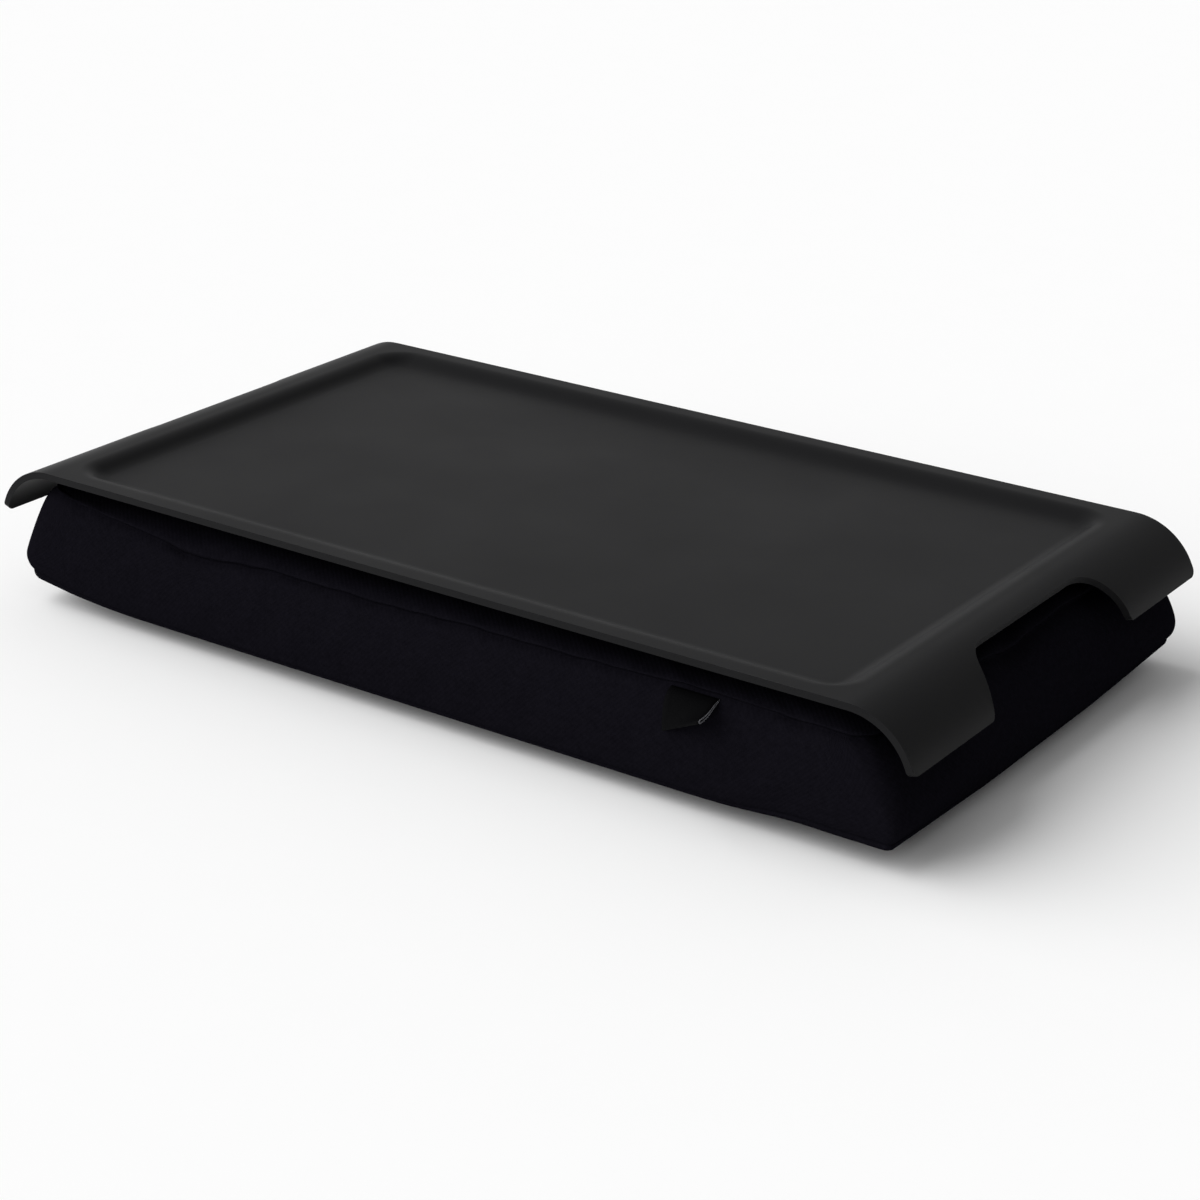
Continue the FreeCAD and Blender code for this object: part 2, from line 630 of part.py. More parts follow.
def zip_slider():
    """A channel behind both coils, with a neck that comes out through the slit to the pull."""
    body = doc.addObject("PartDesign::Body", "Slider")
    place(body, SLIDER_REST, BELLY_Y, "Sizes.belly_height")
    flange_in = "(%s + Sizes.coil_radius + Sizes.slider_clearance)" % COIL_OFFSET
    flange_out = "(%s + Sizes.slider_wall)" % flange_in
    flange_end = "(%s + 2 * Sizes.slider_clearance)" % TAPE_BACK
    channel = body_sketch(body, "slider_channel", "YZ_Plane")
    polygon(channel,
            ("-" + SLIDER_BACK, "-" + flange_out), ("-" + flange_end, "-" + flange_out),
            ("-" + flange_end, "-" + flange_in), ("-" + SLIDER_FRONT, "-" + flange_in),
            ("-" + SLIDER_FRONT, flange_in), ("-" + flange_end, flange_in),
            ("-" + flange_end, flange_out), ("-" + SLIDER_BACK, flange_out))
    pad(body, channel, "Sizes.slider_length", symmetric=True)

    neck = body_sketch(body, "slider_neck", "XY_Plane")
    radius, standoff = value("Sizes.eye_radius"), value(PIN_STANDOFF)
    root = "(%s + Sizes.slider_wall / 2)" % SLIDER_FRONT
    right = line(neck, (radius, -value(root)), (radius, standoff))
    end = arc(neck, (0, standoff), radius, 0, 180)
    left = line(neck, (-radius, standoff), (-radius, -value(root)))
    foot = line(neck, (-radius, -value(root)), (radius, -value(root)))
    eye = neck.addGeometry(Part.Circle(Vector(0, standoff, 0), Vector(0, 0, 1),
                                       value("Sizes.pin_radius + Sizes.pin_clearance")))
    join(neck, "Tangent", (right, 2, end, 1), (end, 2, left, 1))
    join(neck, "Coincident", (left, 2, foot, 1), (foot, 2, right, 1), (eye, 3, end, 3))
    level(neck, horizontal=(foot,), vertical=(left,))
    neck.addConstraint(Sketcher.Constraint("PointOnObject", end, 3, -2))
    dimension(neck, "standoff", PIN_STANDOFF, "DistanceY", -1, 1, end, 3)
    dimension(neck, "root", root, "DistanceY", foot, 1, -1, 1)
    dimension(neck, "eye_radius", "Sizes.eye_radius", "Radius", end)
    dimension(neck, "eye", "Sizes.pin_radius + Sizes.pin_clearance", "Radius", eye)
    pad(body, neck, "2 * " + NECK_HALF, symmetric=True)
    return node(body, "zip_slider")


def zip_pull():
    """A tab with two ears and a pin; its own origin is the middle of the pin."""
    body = doc.addObject("PartDesign::Body", "Pull")
    place(body, SLIDER_REST, "%s + %s" % (BELLY_Y, PIN_STANDOFF), "Sizes.belly_height")
    radius = value("Sizes.eye_radius")
    reach, half = value("Sizes.lug_reach"), value("Sizes.pull_thickness") / 2

    lug = body_sketch(body, "pull_lug", "XY_Plane")
    end = arc(lug, (0, 0), radius, -90, 90)
    upper = line(lug, (0, radius), (-reach, half))
    back = line(lug, (-reach, half), (-reach, -half))
    lower = line(lug, (-reach, -half), (0, -radius))
    join(lug, "Coincident", (end, 2, upper, 1), (upper, 2, back, 1), (back, 2, lower, 1),
         (lower, 2, end, 1), (end, 3, -1, 1))
    level(lug, vertical=(back,))
    lug.addConstraint(Sketcher.Constraint("PointOnObject", end, 1, -2))
    lug.addConstraint(Sketcher.Constraint("PointOnObject", end, 2, -2))
    dimension(lug, "eye_radius", "Sizes.eye_radius", "Radius", end)
    dimension(lug, "reach", "Sizes.lug_reach", "DistanceX", back, 1, -1, 1)
    dimension(lug, "above", "Sizes.pull_thickness / 2", "DistanceY", -1, 1, back, 1)
    dimension(lug, "below", "Sizes.pull_thickness / 2", "DistanceY", back, 2, -1, 1)
    pad(body, lug, "2 * " + EAR_OUTER, symmetric=True)

    slot = body_sketch(body, "pull_slot", "XY_Plane")
    room = "(Sizes.eye_radius + Sizes.slider_clearance)"
    polygon(slot, ("-" + room, "-" + room), (room, "-" + room), (room, room), ("-" + room, room))
    pad(body, slot, "2 * " + EAR_INNER, symmetric=True, kind="PartDesign::Pocket")

    pin = body_sketch(body, "pull_pin", "XY_Plane")
    shaft = pin.addGeometry(Part.Circle(Vector(0, 0, 0), Vector(0, 0, 1), value("Sizes.pin_radius")))
    join(pin, "Coincident", (shaft, 3, -1, 1))
    dimension(pin, "pin_radius", "Sizes.pin_radius", "Radius", shaft)
    pad(body, pin, "2 * " + EAR_OUTER, symmetric=True)

    tab = body_sketch(body, "pull_tab", "XZ_Plane")
    wide, narrow = value("Sizes.pull_width") / 2, value(EAR_OUTER)
    root = "(Sizes.lug_reach - Sizes.pull_thickness)"
    far = "(Sizes.pull_length - Sizes.pull_width / 2)"
    top = line(tab, (-value(root), narrow), (-value(far), wide))
    tip = arc(tab, (-value(far), 0), wide, 90, 270)
    base = line(tab, (-value(far), -wide), (-value(root), -narrow))
    close = line(tab, (-value(root), -narrow), (-value(root), narrow))
    join(tab, "Coincident", (top, 2, tip, 1), (tip, 2, base, 1), (base, 2, close, 1), (close, 2, top, 1))
    level(tab, vertical=(close,))
    tab.addConstraint(Sketcher.Constraint("PointOnObject", tip, 3, -1))
    dimension(tab, "root", root, "DistanceX", close, 1, -1, 1)
    dimension(tab, "narrow_top", EAR_OUTER, "DistanceY", -1, 1, close, 2)
    dimension(tab, "narrow_base", EAR_OUTER, "DistanceY", close, 1, -1, 1)
    dimension(tab, "far", far, "DistanceX", tip, 3, -1, 1)
    dimension(tab, "far_top", far, "DistanceX", tip, 1, -1, 1)
    dimension(tab, "far_base", far, "DistanceX", tip, 2, -1, 1)
    dimension(tab, "wide", "Sizes.pull_width / 2", "Radius", tip)
    pad(body, tab, "Sizes.pull_thickness", symmetric=True)
    return node(body, "zip_pull")


# Label

def seam_label():
    """A woven strip folded in two; its own origin is where the strip enters the seam."""
    body = doc.addObject("PartDesign::Body", "Label")
    sketch = body_sketch(body, "label_strip", "YZ_Plane")
    outer = "(Sizes.label_fold / 2)"
    inner = "(Sizes.label_fold / 2 - Sizes.label_wall)"
    drop = "(Sizes.label_drop - Sizes.label_fold / 2)"
    wide, slim, low = value(outer), value(inner), -value(drop)
    front = line(sketch, (-wide, 0), (-wide, low))
    fold = arc(sketch, (0, low), wide, 180, 360)
    back = line(sketch, (wide, low), (wide, 0))
    back_top = line(sketch, (wide, 0), (slim, 0))
    back_inside = line(sketch, (slim, 0), (slim, low))
    inside = arc(sketch, (0, low), slim, 180, 360)
    front_inside = line(sketch, (-slim, low), (-slim, 0))
    front_top = line(sketch, (-slim, 0), (-wide, 0))
    join(sketch, "Tangent", (front, 2, fold, 1), (fold, 2, back, 1),
         (back_inside, 2, inside, 2), (inside, 1, front_inside, 1))
    join(sketch, "Coincident", (back, 2, back_top, 1), (back_top, 2, back_inside, 1),
         (front_inside, 2, front_top, 1), (front_top, 2, front, 1), (fold, 3, inside, 3))
    level(sketch, horizontal=(back_top, front_top), vertical=(front, back_inside))
    sketch.addConstraint(Sketcher.Constraint("PointOnObject", back, 2, -1))
    sketch.addConstraint(Sketcher.Constraint("PointOnObject", front, 1, -1))
    sketch.addConstraint(Sketcher.Constraint("PointOnObject", fold, 3, -2))
    dimension(sketch, "outer", outer, "Radius", fold)
    dimension(sketch, "inner", inner, "Radius", inside)
    dimension(sketch, "drop", drop, "DistanceY", fold, 3, -1, 1)
    pad(body, sketch, "Sizes.label_width", symmetric=True)
    body.Placement.Rotation = Rotation(Vector(1, 0, 0), -value("Sizes.label_tilt"))
    place(body, "Sizes.label_offset",
          "-(%s + Sizes.layer_gap + Sizes.label_fold / 2)" % TOP_SEAM_Y, TOP_SEAM_Z)
    return node(body, "seam_label")


tray()
fastener_pads()
cover()
liner_and_fill()
zip_tapes()
zip_coils()
zip_stops()
zip_slider()
zip_pull()
seam_label()
doc.recompute()

# Nothing is written unless every object of the document came out whole

for item in doc.Objects:
    if "Invalid" in item.State or "Error" in item.State:
        raise RuntimeError("%s did not build" % item.Label)
for piece in nodes:
    if piece.Shape.isNull() or not piece.Shape.isValid():
        raise RuntimeError("%s has no valid shape" % piece.Label)

os.makedirs("parts", exist_ok=True)
for piece in nodes:
    piece.Shape.exportStep("parts/%s.step" % piece.Label)
    limits = piece.Shape.BoundBox
    print("%-22s solids %d  volume %10.1f  z %.2f to %.2f"
          % (piece.Label, len(piece.Shape.Solids), piece.Shape.Volume, limits.ZMin, limits.ZMax))
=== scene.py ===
import math

import bmesh
import bpy
import numpy as np
from bpy.props import FloatProperty, FloatVectorProperty, IntProperty, PointerProperty
from bpy.types import Operator, Panel, PropertyGroup
from mathutils import Matrix, Vector


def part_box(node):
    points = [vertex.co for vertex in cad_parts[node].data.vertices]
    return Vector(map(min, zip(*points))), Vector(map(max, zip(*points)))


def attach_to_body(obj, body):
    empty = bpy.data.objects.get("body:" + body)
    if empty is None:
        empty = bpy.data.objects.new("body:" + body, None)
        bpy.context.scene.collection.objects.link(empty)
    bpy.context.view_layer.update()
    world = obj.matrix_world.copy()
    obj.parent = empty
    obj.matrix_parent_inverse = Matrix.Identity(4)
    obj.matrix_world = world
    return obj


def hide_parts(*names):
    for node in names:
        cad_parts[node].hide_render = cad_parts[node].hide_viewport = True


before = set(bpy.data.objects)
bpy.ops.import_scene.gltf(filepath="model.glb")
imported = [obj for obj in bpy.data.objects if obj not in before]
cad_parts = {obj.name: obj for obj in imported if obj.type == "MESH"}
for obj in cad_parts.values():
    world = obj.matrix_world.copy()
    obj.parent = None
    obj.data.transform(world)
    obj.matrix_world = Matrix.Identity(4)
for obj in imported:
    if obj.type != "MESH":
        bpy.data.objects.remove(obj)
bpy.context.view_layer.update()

bl_info = {
    "name": "Lap tray with cushion",
    "version": (1, 0, 0),
    "blender": (4, 5, 0),
    "location": "View3D > Sidebar > Lap tray",
    "description": "Dresses the lap tray: moulded tray, sewn cushion, fastener pads, zip and label",
    "category": "Object",
}

MM = 0.001
CORNERS = [row + "_" + side for row in ("front", "rear") for side in ("left", "right")]


# Settings

def linear(colour):
    """A hex colour as linear red, green and blue."""
    parts = [int(colour[i:i + 2], 16) / 255 for i in (1, 3, 5)]
    return tuple(c / 12.92 if c <= 0.04045 else ((c + 0.055) / 1.055) ** 2.4 for c in parts)


def length(name, description, millimetres):
    return FloatProperty(name=name, description=description, default=millimetres * MM, min=0,
                         unit="LENGTH", precision=5)


def angle(name, description, degrees):
    return FloatProperty(name=name, description=description, default=math.radians(degrees),
                         subtype="ANGLE")


def colour(name, description, value):
    return FloatVectorProperty(name=name, description=description, default=linear(value),
                               subtype="COLOR", size=3, min=0, max=1)


def amount(name, description, value):
    return FloatProperty(name=name, description=description, default=value)


class TraySettings(PropertyGroup):
    colour: colour("Plastic", "Colour of the moulded plastic", "#181819")
    grit: length("Grit", "Grain of the mould's eroded surface", 0.9)
    cloud: length("Cloud", "Size of the faint patches of tone and shine", 60)
    wall: length("Wall", "Thickness of the moulded sheet", 2.8)
    wing_radius: length("Wing radius", "Outer radius of the curled ends", 28)
    wing_sweep: angle("Wing sweep", "Turn of the curled ends", 74.5)
    rim: length("Rim", "Width of the flat rim at the front and the rear", 9.5)
    end_rim: length("End rim", "Width of the flat rim at the ends", 6.5)
    recess: length("Recess", "Depth of the panel below the rim", 4)
    recess_run: length("Recess run", "Plan width of the slope down to the panel", 5.5)
    recess_corner: length("Recess corner", "Corner radius of the recess in plan", 13)
    crest_round: length("Crest round", "Radius where the rim turns into the slope", 10)
    foot_round: length("Foot round", "Radius where the slope turns into the panel", 10)
    notch_mouth: length("Notch mouth", "Width of the hand notch at the edge", 110)
    notch_reach: length("Notch reach", "Depth of the hand notch in plan", 17.7)
    notch_corner: length("Notch corner", "Radius of the inner corners of the notch", 16)
    notch_flare: angle("Notch flare", "Slant of the sides of the notch", 33)
    tip_round: length("Tip round", "Corner radius of the curled ends", 3)
    lip_round: length("Lip round", "Corner radius at the mouth of the notch", 2)
    edge_round: length("Edge round", "Rounding along all edges of the sheet", 0.8)


class CushionSettings(PropertyGroup):
    colour: colour("Cotton", "Colour of the cover's cotton", "#100f14")
    thread: length("Thread spacing", "Spacing of the weave, drawn coarse enough to show", 1.1)
    slub: length("Slub", "Size of the uneven spots in the threads", 2.5)
    corner: length("Corner", "Radius of the upright corners at the top seam", 12)
    left_corner: length("Left low corner", "Radius of the left corners at the bottom seam", 6)
    right_corner: length("Right low corner", "Radius of the right corners at the bottom seam", 2.5)
    belly_height: length("Belly height", "Height at which the sides are widest", 24)
    belly_bulge: length("Belly bulge", "How far the belly stands out past the bottom seam", 1.5)
    crown_margin: length("Crown margin", "From the top seam in to the flat of the top", 22)
    shoulder_margin: length("Shoulder margin", "From the top seam in to the shoulder", 8)
    shoulder_drop: length("Shoulder drop", "From the flat of the top down to the shoulder", 1.6)
    base_margin: length("Base margin", "From the bottom seam in to the flat base", 19)
    heel_margin: length("Heel margin", "From the bottom seam in to the heel", 4.5)
    heel_height: length("Heel height", "Height of the heel above the base", 5)
    seam_depth: length("Seam depth", "How deep the top seam is drawn in", 4)
    lip_depth: length("Lip depth", "How deep the cloth dips right beside the top seam", 1)
    low_seam_depth: length("Low seam depth", "How deep the bottom seam is drawn in", 0.9)
    low_lip_depth: length("Low lip depth", "How deep the cloth dips right beside the bottom seam", 0.2)
    top_wave: length("Top wave", "How far the top seam wanders up and down", 1.5)
    low_wave: length("Low wave", "How far the bottom seam wanders up and down", 0.3)
    gather: length("Gather", "Depth of the small puckers along the top seam", 0.8)
    left_lift: length("Left lift", "How far the bottom rises at the left corners", 10.5)
    right_lift: length("Right lift", "How far the bottom rises at the right corners", 5.5)
    left_tuck: length("Left tuck", "How far the left corners are drawn in", 1.8)
    slack: amount("Slack", "Share by which the cloth is larger than its filling", 0.004)
    pressure: amount("Pressure", "Push of the filling against the cloth", 4.0)
    swell: length("Swell", "Furthest that a point of the cloth may move", 4)
    liner_colour: colour("Liner", "Colour of the inner bag", "#3a3a3c")


class FastenerSettings(PropertyGroup):
    colour: colour("Nylon", "Colour of the hook and loop strips", "#101012")
    backing: length("Backing", "Thickness of the woven backing", 0.45)
    spacing: length("Spacing", "Distance between neighbouring hooks or loops", 1.9)
    corner: length("Corner", "Corner radius of the strips", 3)
    strand: length("Strand", "Radius of one hook or loop", 0.13)
    scatter: length("Scatter", "Furthest that a hook or loop stands off its row", 0.3)
    twist: angle("Twist", "Furthest turn of a hook or loop", 34.3775)
    seed: IntProperty(name="Seed", description="Order of the hooks and loops", default=7)


class ZipSettings(PropertyGroup):
    tape_colour: colour("Tape", "Colour of the zip's tape", "#0d0d10")
    metal_colour: colour("Metal", "Colour of the painted slider", "#17171a")
    coil_pitch: length("Coil pitch", "Distance between the turns of the coil", 1.4)
    coil_wire: length("Coil wire", "Radius of the coil's wire", 0.28)
    stitch_pitch: length("Stitch pitch", "Distance between stitches", 3.2)
    stitch_length: length("Stitch length", "Visible length of one stitch", 2.5)
    stitch_row: length("Stitch row", "Distance of the stitches from the middle of the zip", 5.5)
    thread_radius: length("Thread radius", "Radius of the sewing thread", 0.22)


class LabelSettings(PropertyGroup):
    colour: colour("Ribbon", "Colour of the woven ribbon", "#070708")
    # The label's cut edge is coloured a pale grey.
    edge_colour: colour("Cut edge", "Colour of the threads at the cut edge", "#6d6d72")
    drop: length("Drop", "Length of the folded label", 14)
    wall: length("Wall", "Thickness of the ribbon", 0.45)
    gap: length("Gap", "Space between the two layers at the fold", 0.7)


class StageSettings(PropertyGroup):
    floor_colour: colour("Floor", "Colour of the floor", "#fafafa")
    camera_place: FloatVectorProperty(name="Camera", description="Place of the camera", size=3,
                                      default=(0.6011, -0.8479, 0.4432), subtype="XYZ", unit="LENGTH")
    azimuth: angle("Azimuth", "Turn of the camera round the tray", 34.96)
    elevation: angle("Elevation", "Tilt of the camera down to the tray", 22.46)
    roll: angle("Roll", "Lean of the camera", 0.61)
    lens: amount("Lens", "Focal length in millimetres on a 36 mm sensor", 82.84)
    low_left: amount("Low left", "Strength of the surroundings near the horizon on the left", 1.05)
    low_right: amount("Low right", "Strength of the surroundings near the horizon on the right", 0.06)
    high_left: amount("High left", "Strength of the surroundings higher up on the left", 0.62)
    high_right: amount("High right", "Strength of the surroundings higher up on the right", 0.25)
    key_strength: amount("Key light", "Strength of the wide light from above, on the left and in front",
                         2.96)
    spread: angle("Spread", "Angle over which the light is spread", 75)


class LapTraySettings(PropertyGroup):
    tray: PointerProperty(type=TraySettings)
    cushion: PointerProperty(type=CushionSettings)
    fastener: PointerProperty(type=FastenerSettings)
    zip: PointerProperty(type=ZipSettings)
    label: PointerProperty(type=LabelSettings)
    stage: PointerProperty(type=StageSettings)


def settings():
    return bpy.context.scene.lap_tray


# Nodes and materials

def add(tree, kind, inputs=None, **values):
    """Add a node with its settings; an input is a value, or the socket or node that it is linked from."""
    node = tree.nodes.new(kind)
    for name, value in values.items():
        setattr(node, name, value)
    for key, value in (inputs or {}).items():
        if isinstance(value, bpy.types.Node):
            value = value.outputs[0]
        if isinstance(value, bpy.types.NodeSocket):
            tree.links.new(value, node.inputs[key])
        else:
            node.inputs[key].default_value = value
    return node


def new_material(name, **sockets):
    """An empty material with a Principled shader whose plain sockets are set."""
    material = bpy.data.materials.new(name)
    material.use_nodes = True
    shader = material.node_tree.nodes["Principled BSDF"]
    for socket, value in sockets.items():
        shader.inputs[socket.replace("_", " ")].default_value = value
    return material, material.node_tree, shader


def finish(tree, shader, tone, base, spread, height=None, depth=0.0, strength=0.0):
    """Let a pattern vary the colour round its base, and another one raise the surface."""
    tones = add(tree, "ShaderNodeMix", {"Factor": tone}, data_type="RGBA")
    for end, share in (("A", 1 - spread), ("B", 1 + spread)):
        tones.inputs[end].default_value = (*[c * share for c in base], 1)
    tree.links.new(tones.outputs["Result"], shader.inputs["Base Color"])
    if height:
        relief = add(tree, "ShaderNodeBump", {"Height": height, "Distance": depth, "Strength": strength})
        tree.links.new(relief.outputs["Normal"], shader.inputs["Normal"])


def speckled(name, base, grain, detail, spread, depth=0.0, strength=0.0, **sockets):
    """A material with grains of one size, which tint it and raise it where they have a depth."""
    material, tree, shader = new_material(name, **sockets)
    place = add(tree, "ShaderNodeTexCoord").outputs["Object"]
    grains = add(tree, "ShaderNodeTexNoise", {"Vector": place, "Scale": 1 / grain, "Detail": detail})
    finish(tree, shader, grains, base, spread, grains if depth else None, depth, strength)
    return material


def moulded_abs():
    """ABS from a spark-eroded mould: black, with a fine even grain that spreads the shine."""
    size = settings().tray
    # The grain breaks up the gloss, which is left only at a glancing view, along the crests.
    material, tree, shader = new_material("Moulded ABS", Specular_IOR_Level=0.068)
    place = add(tree, "ShaderNodeTexCoord").outputs["Object"]
    # The real grain is about 0.1 mm, so it is drawn coarser to show at all.
    grain = add(tree, "ShaderNodeTexNoise", {"Vector": place, "Scale": 1 / size.grit, "Detail": 4.0})
    cloud = add(tree, "ShaderNodeTexNoise", {"Vector": place, "Scale": 1 / size.cloud, "Detail": 3.0})
    finish(tree, shader, cloud, size.colour, spread=0.12, height=grain, depth=0.05 * MM, strength=0.25)
    shine = add(tree, "ShaderNodeMapRange", {"Value": cloud, "From Min": 0.3, "From Max": 0.7,
                                             "To Min": 0.44, "To Max": 0.5})
    tree.links.new(shine.outputs["Result"], shader.inputs["Roughness"])
    return material


def weave(tree, vector, spacing):
    """Height of a plain weave: warp and weft pass over each other in turn."""
    place = add(tree, "ShaderNodeSeparateXYZ", {"Vector": vector})
    threads = []
    for axis in ("X", "Y"):
        turns = add(tree, "ShaderNodeMath", {0: place.outputs[axis], 1: math.pi / spacing},
                    operation="MULTIPLY")
        threads.append(add(tree, "ShaderNodeMath", {0: turns}, operation="SINE"))
    return add(tree, "ShaderNodeMath", dict(enumerate(threads)), operation="MULTIPLY")


def cotton_canvas():
    """Dyed cotton canvas: near-black threads with a faint blue cast and no shine at all."""
    size = settings().cushion
    material, tree, shader = new_material("Cotton canvas", Roughness=0.92, Specular_IOR_Level=0.0)
    cloth = add(tree, "ShaderNodeUVMap", uv_map="Cloth")
    # Threads are about 0.4 mm apart on the real cover, under a pixel, so the weave is drawn coarser.
    threads = weave(tree, cloth, size.thread)
    slub = add(tree, "ShaderNodeTexNoise", {"Vector": cloth, "Scale": 1 / size.slub, "Detail": 5.0,
                                            "Roughness": 0.65})
    height = add(tree, "ShaderNodeMath", {0: slub, 1: 1.6, 2: threads}, operation="MULTIPLY_ADD")
    finish(tree, shader, slub, size.colour, spread=0.45, height=height, depth=0.12 * MM, strength=0.4)
    return material


def liner_cotton():
    """Plain cotton bag, dull and dark grey; only a sliver shows through the zip."""
    return speckled("Liner cotton", settings().cushion.liner_colour, grain=1.5 * MM, detail=3.0,
                    spread=0.2, depth=0.1 * MM, strength=0.5, Roughness=0.95)


def nylon_strand(name, base, roughness):
    """Extruded nylon: a smooth dark strand with a soft gleam along it."""
    return speckled(name, base, grain=0.8 * MM, detail=2.0, spread=0.25, Roughness=roughness)


def woven_tape(name, base, rib, roughness):
    """Polyester tape: dull, with fine ribs across it from the weft."""
    material, tree, shader = new_material(name, Roughness=roughness, Specular_IOR_Level=0.02)
    place = add(tree, "ShaderNodeTexCoord").outputs["Object"]
    # The node draws ten waves over a length of pi at a scale of one.
    ribs = add(tree, "ShaderNodeTexWave", {"Vector": place, "Scale": math.pi / 10 / rib,
                                           "Distortion": 0.4, "Detail": 2.0}, bands_direction="X")
    height = ribs.outputs["Fac"]
    finish(tree, shader, height, base, spread=0.2, height=height, depth=0.1 * MM, strength=0.5)
    return material


def painted_zinc():
    """Zinc casting under black paint: smooth, half gloss, slightly uneven."""
    return speckled("Painted zinc", settings().zip.metal_colour, grain=0.7 * MM, detail=2.0, spread=0.15,
                    depth=0.02 * MM, strength=0.3, Roughness=0.45, Specular_IOR_Level=0.3)


def pale_label_edge():
    """Pale grey for the label's cut edge."""
    return speckled("Pale label edge", settings().label.edge_colour, grain=0.4 * MM, detail=2.0,
                    spread=0.4, Roughness=0.8)


def paper_floor():
    """Matt white studio paper."""
    return speckled("Studio paper", settings().stage.floor_colour, grain=30 * MM, detail=2.0,
                    spread=0.004, Roughness=0.9, Specular_IOR_Level=0.0)


# Pieces

def new_piece(name, mesh, *materials):
    """An object at the origin for a mesh whose place is in its points."""
    piece = bpy.data.objects.new(name, mesh)
    bpy.context.scene.collection.objects.link(piece)
    for material in materials:
        mesh.materials.append(material)
    mesh.shade_smooth()
    return piece


def from_faces(name, bm, *materials):
    """A piece with the faces of a bmesh, which is freed."""
    mesh = bpy.data.meshes.new(name)
    bm.to_mesh(mesh)
    bm.free()
    return new_piece(name, mesh, *materials)


def modify(piece, name, kind, **values):
    """Add a modifier with its settings."""
    modifier = piece.modifiers.new(name, kind)
    for key, value in values.items():
        setattr(modifier, key, value)
    return modifier


def attach(piece, body, slot, *nodes):
    """Put a finished piece on its body, in place of the solids that it stands for."""
    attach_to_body(piece, body)
    if nodes:
        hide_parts(*nodes)


def baked(piece):
    """Turn a piece and its modifiers into a plain mesh."""
    evaluated = piece.evaluated_get(bpy.context.evaluated_depsgraph_get())
    mesh = bpy.data.meshes.new_from_object(evaluated)
    piece.modifiers.clear()
    piece.data = mesh
    return piece


def dress(node, material):
    """Give a CAD node that stays a better material."""
    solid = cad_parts[node]
    solid.data.materials.clear()
    solid.data.materials.append(material)


def shares(steps):
    """Even shares of a way from 0 to 1."""
    return [i / steps for i in range(steps + 1)]


def patch(bm, rows):
    """Quads over rows of points."""
    grid = [[bm.verts.new(point) for point in row] for row in rows]
    for upper, lower in zip(grid, grid[1:]):
        for i in range(len(upper) - 1):
            bm.faces.new((upper[i], upper[i + 1], lower[i + 1], lower[i]))


def coons(front, right, back, left):
    """Points over a sheet between four edges, as rows from the front edge to the back edge."""
    rows = []
    for i, b in enumerate(shares(len(right) - 1)):
        row = []
        for k, a in enumerate(shares(len(front) - 1)):
            point = (1 - b) * front[k] + b * back[k] + (1 - a) * left[i] + a * right[i]
            point -= ((1 - a) * (1 - b) * front[0] + a * (1 - b) * front[-1]
                      + (1 - a) * b * back[0] + a * b * back[-1])
            row.append(point)
        rows.append(row)
    return rows


def straight(first, last, count):
    """Evenly spaced points from one place to another."""
    return [first.lerp(last, share) for share in shares(count - 1)]


# Tray

# Steps into which the runs and curves of the tray's lines are divided.
SLOPE_STEPS, CORNER_STEPS, PANEL_STEPS, SIDE_STEPS = 6, 12, 24, 6
NOTCH_STEPS, BEND_STEPS, FLARE_STEPS, LIP_STEPS = 6, 8, 10, 5
RIM_STEPS, CURL_STEPS, TIP_STEPS = 3, 18, 6
# Share of its radius by which the rounding of the edges shortens the curled ends.
EDGE_LOSS = 0.2
# Share of the lip's radius before the mouth where the notch has no points of its own.
LIP_ROOM = 0.15
# In metres: how close points are that become one, and how thin a face is that goes.
WELD, SLIVER = 2e-6, 1e-6


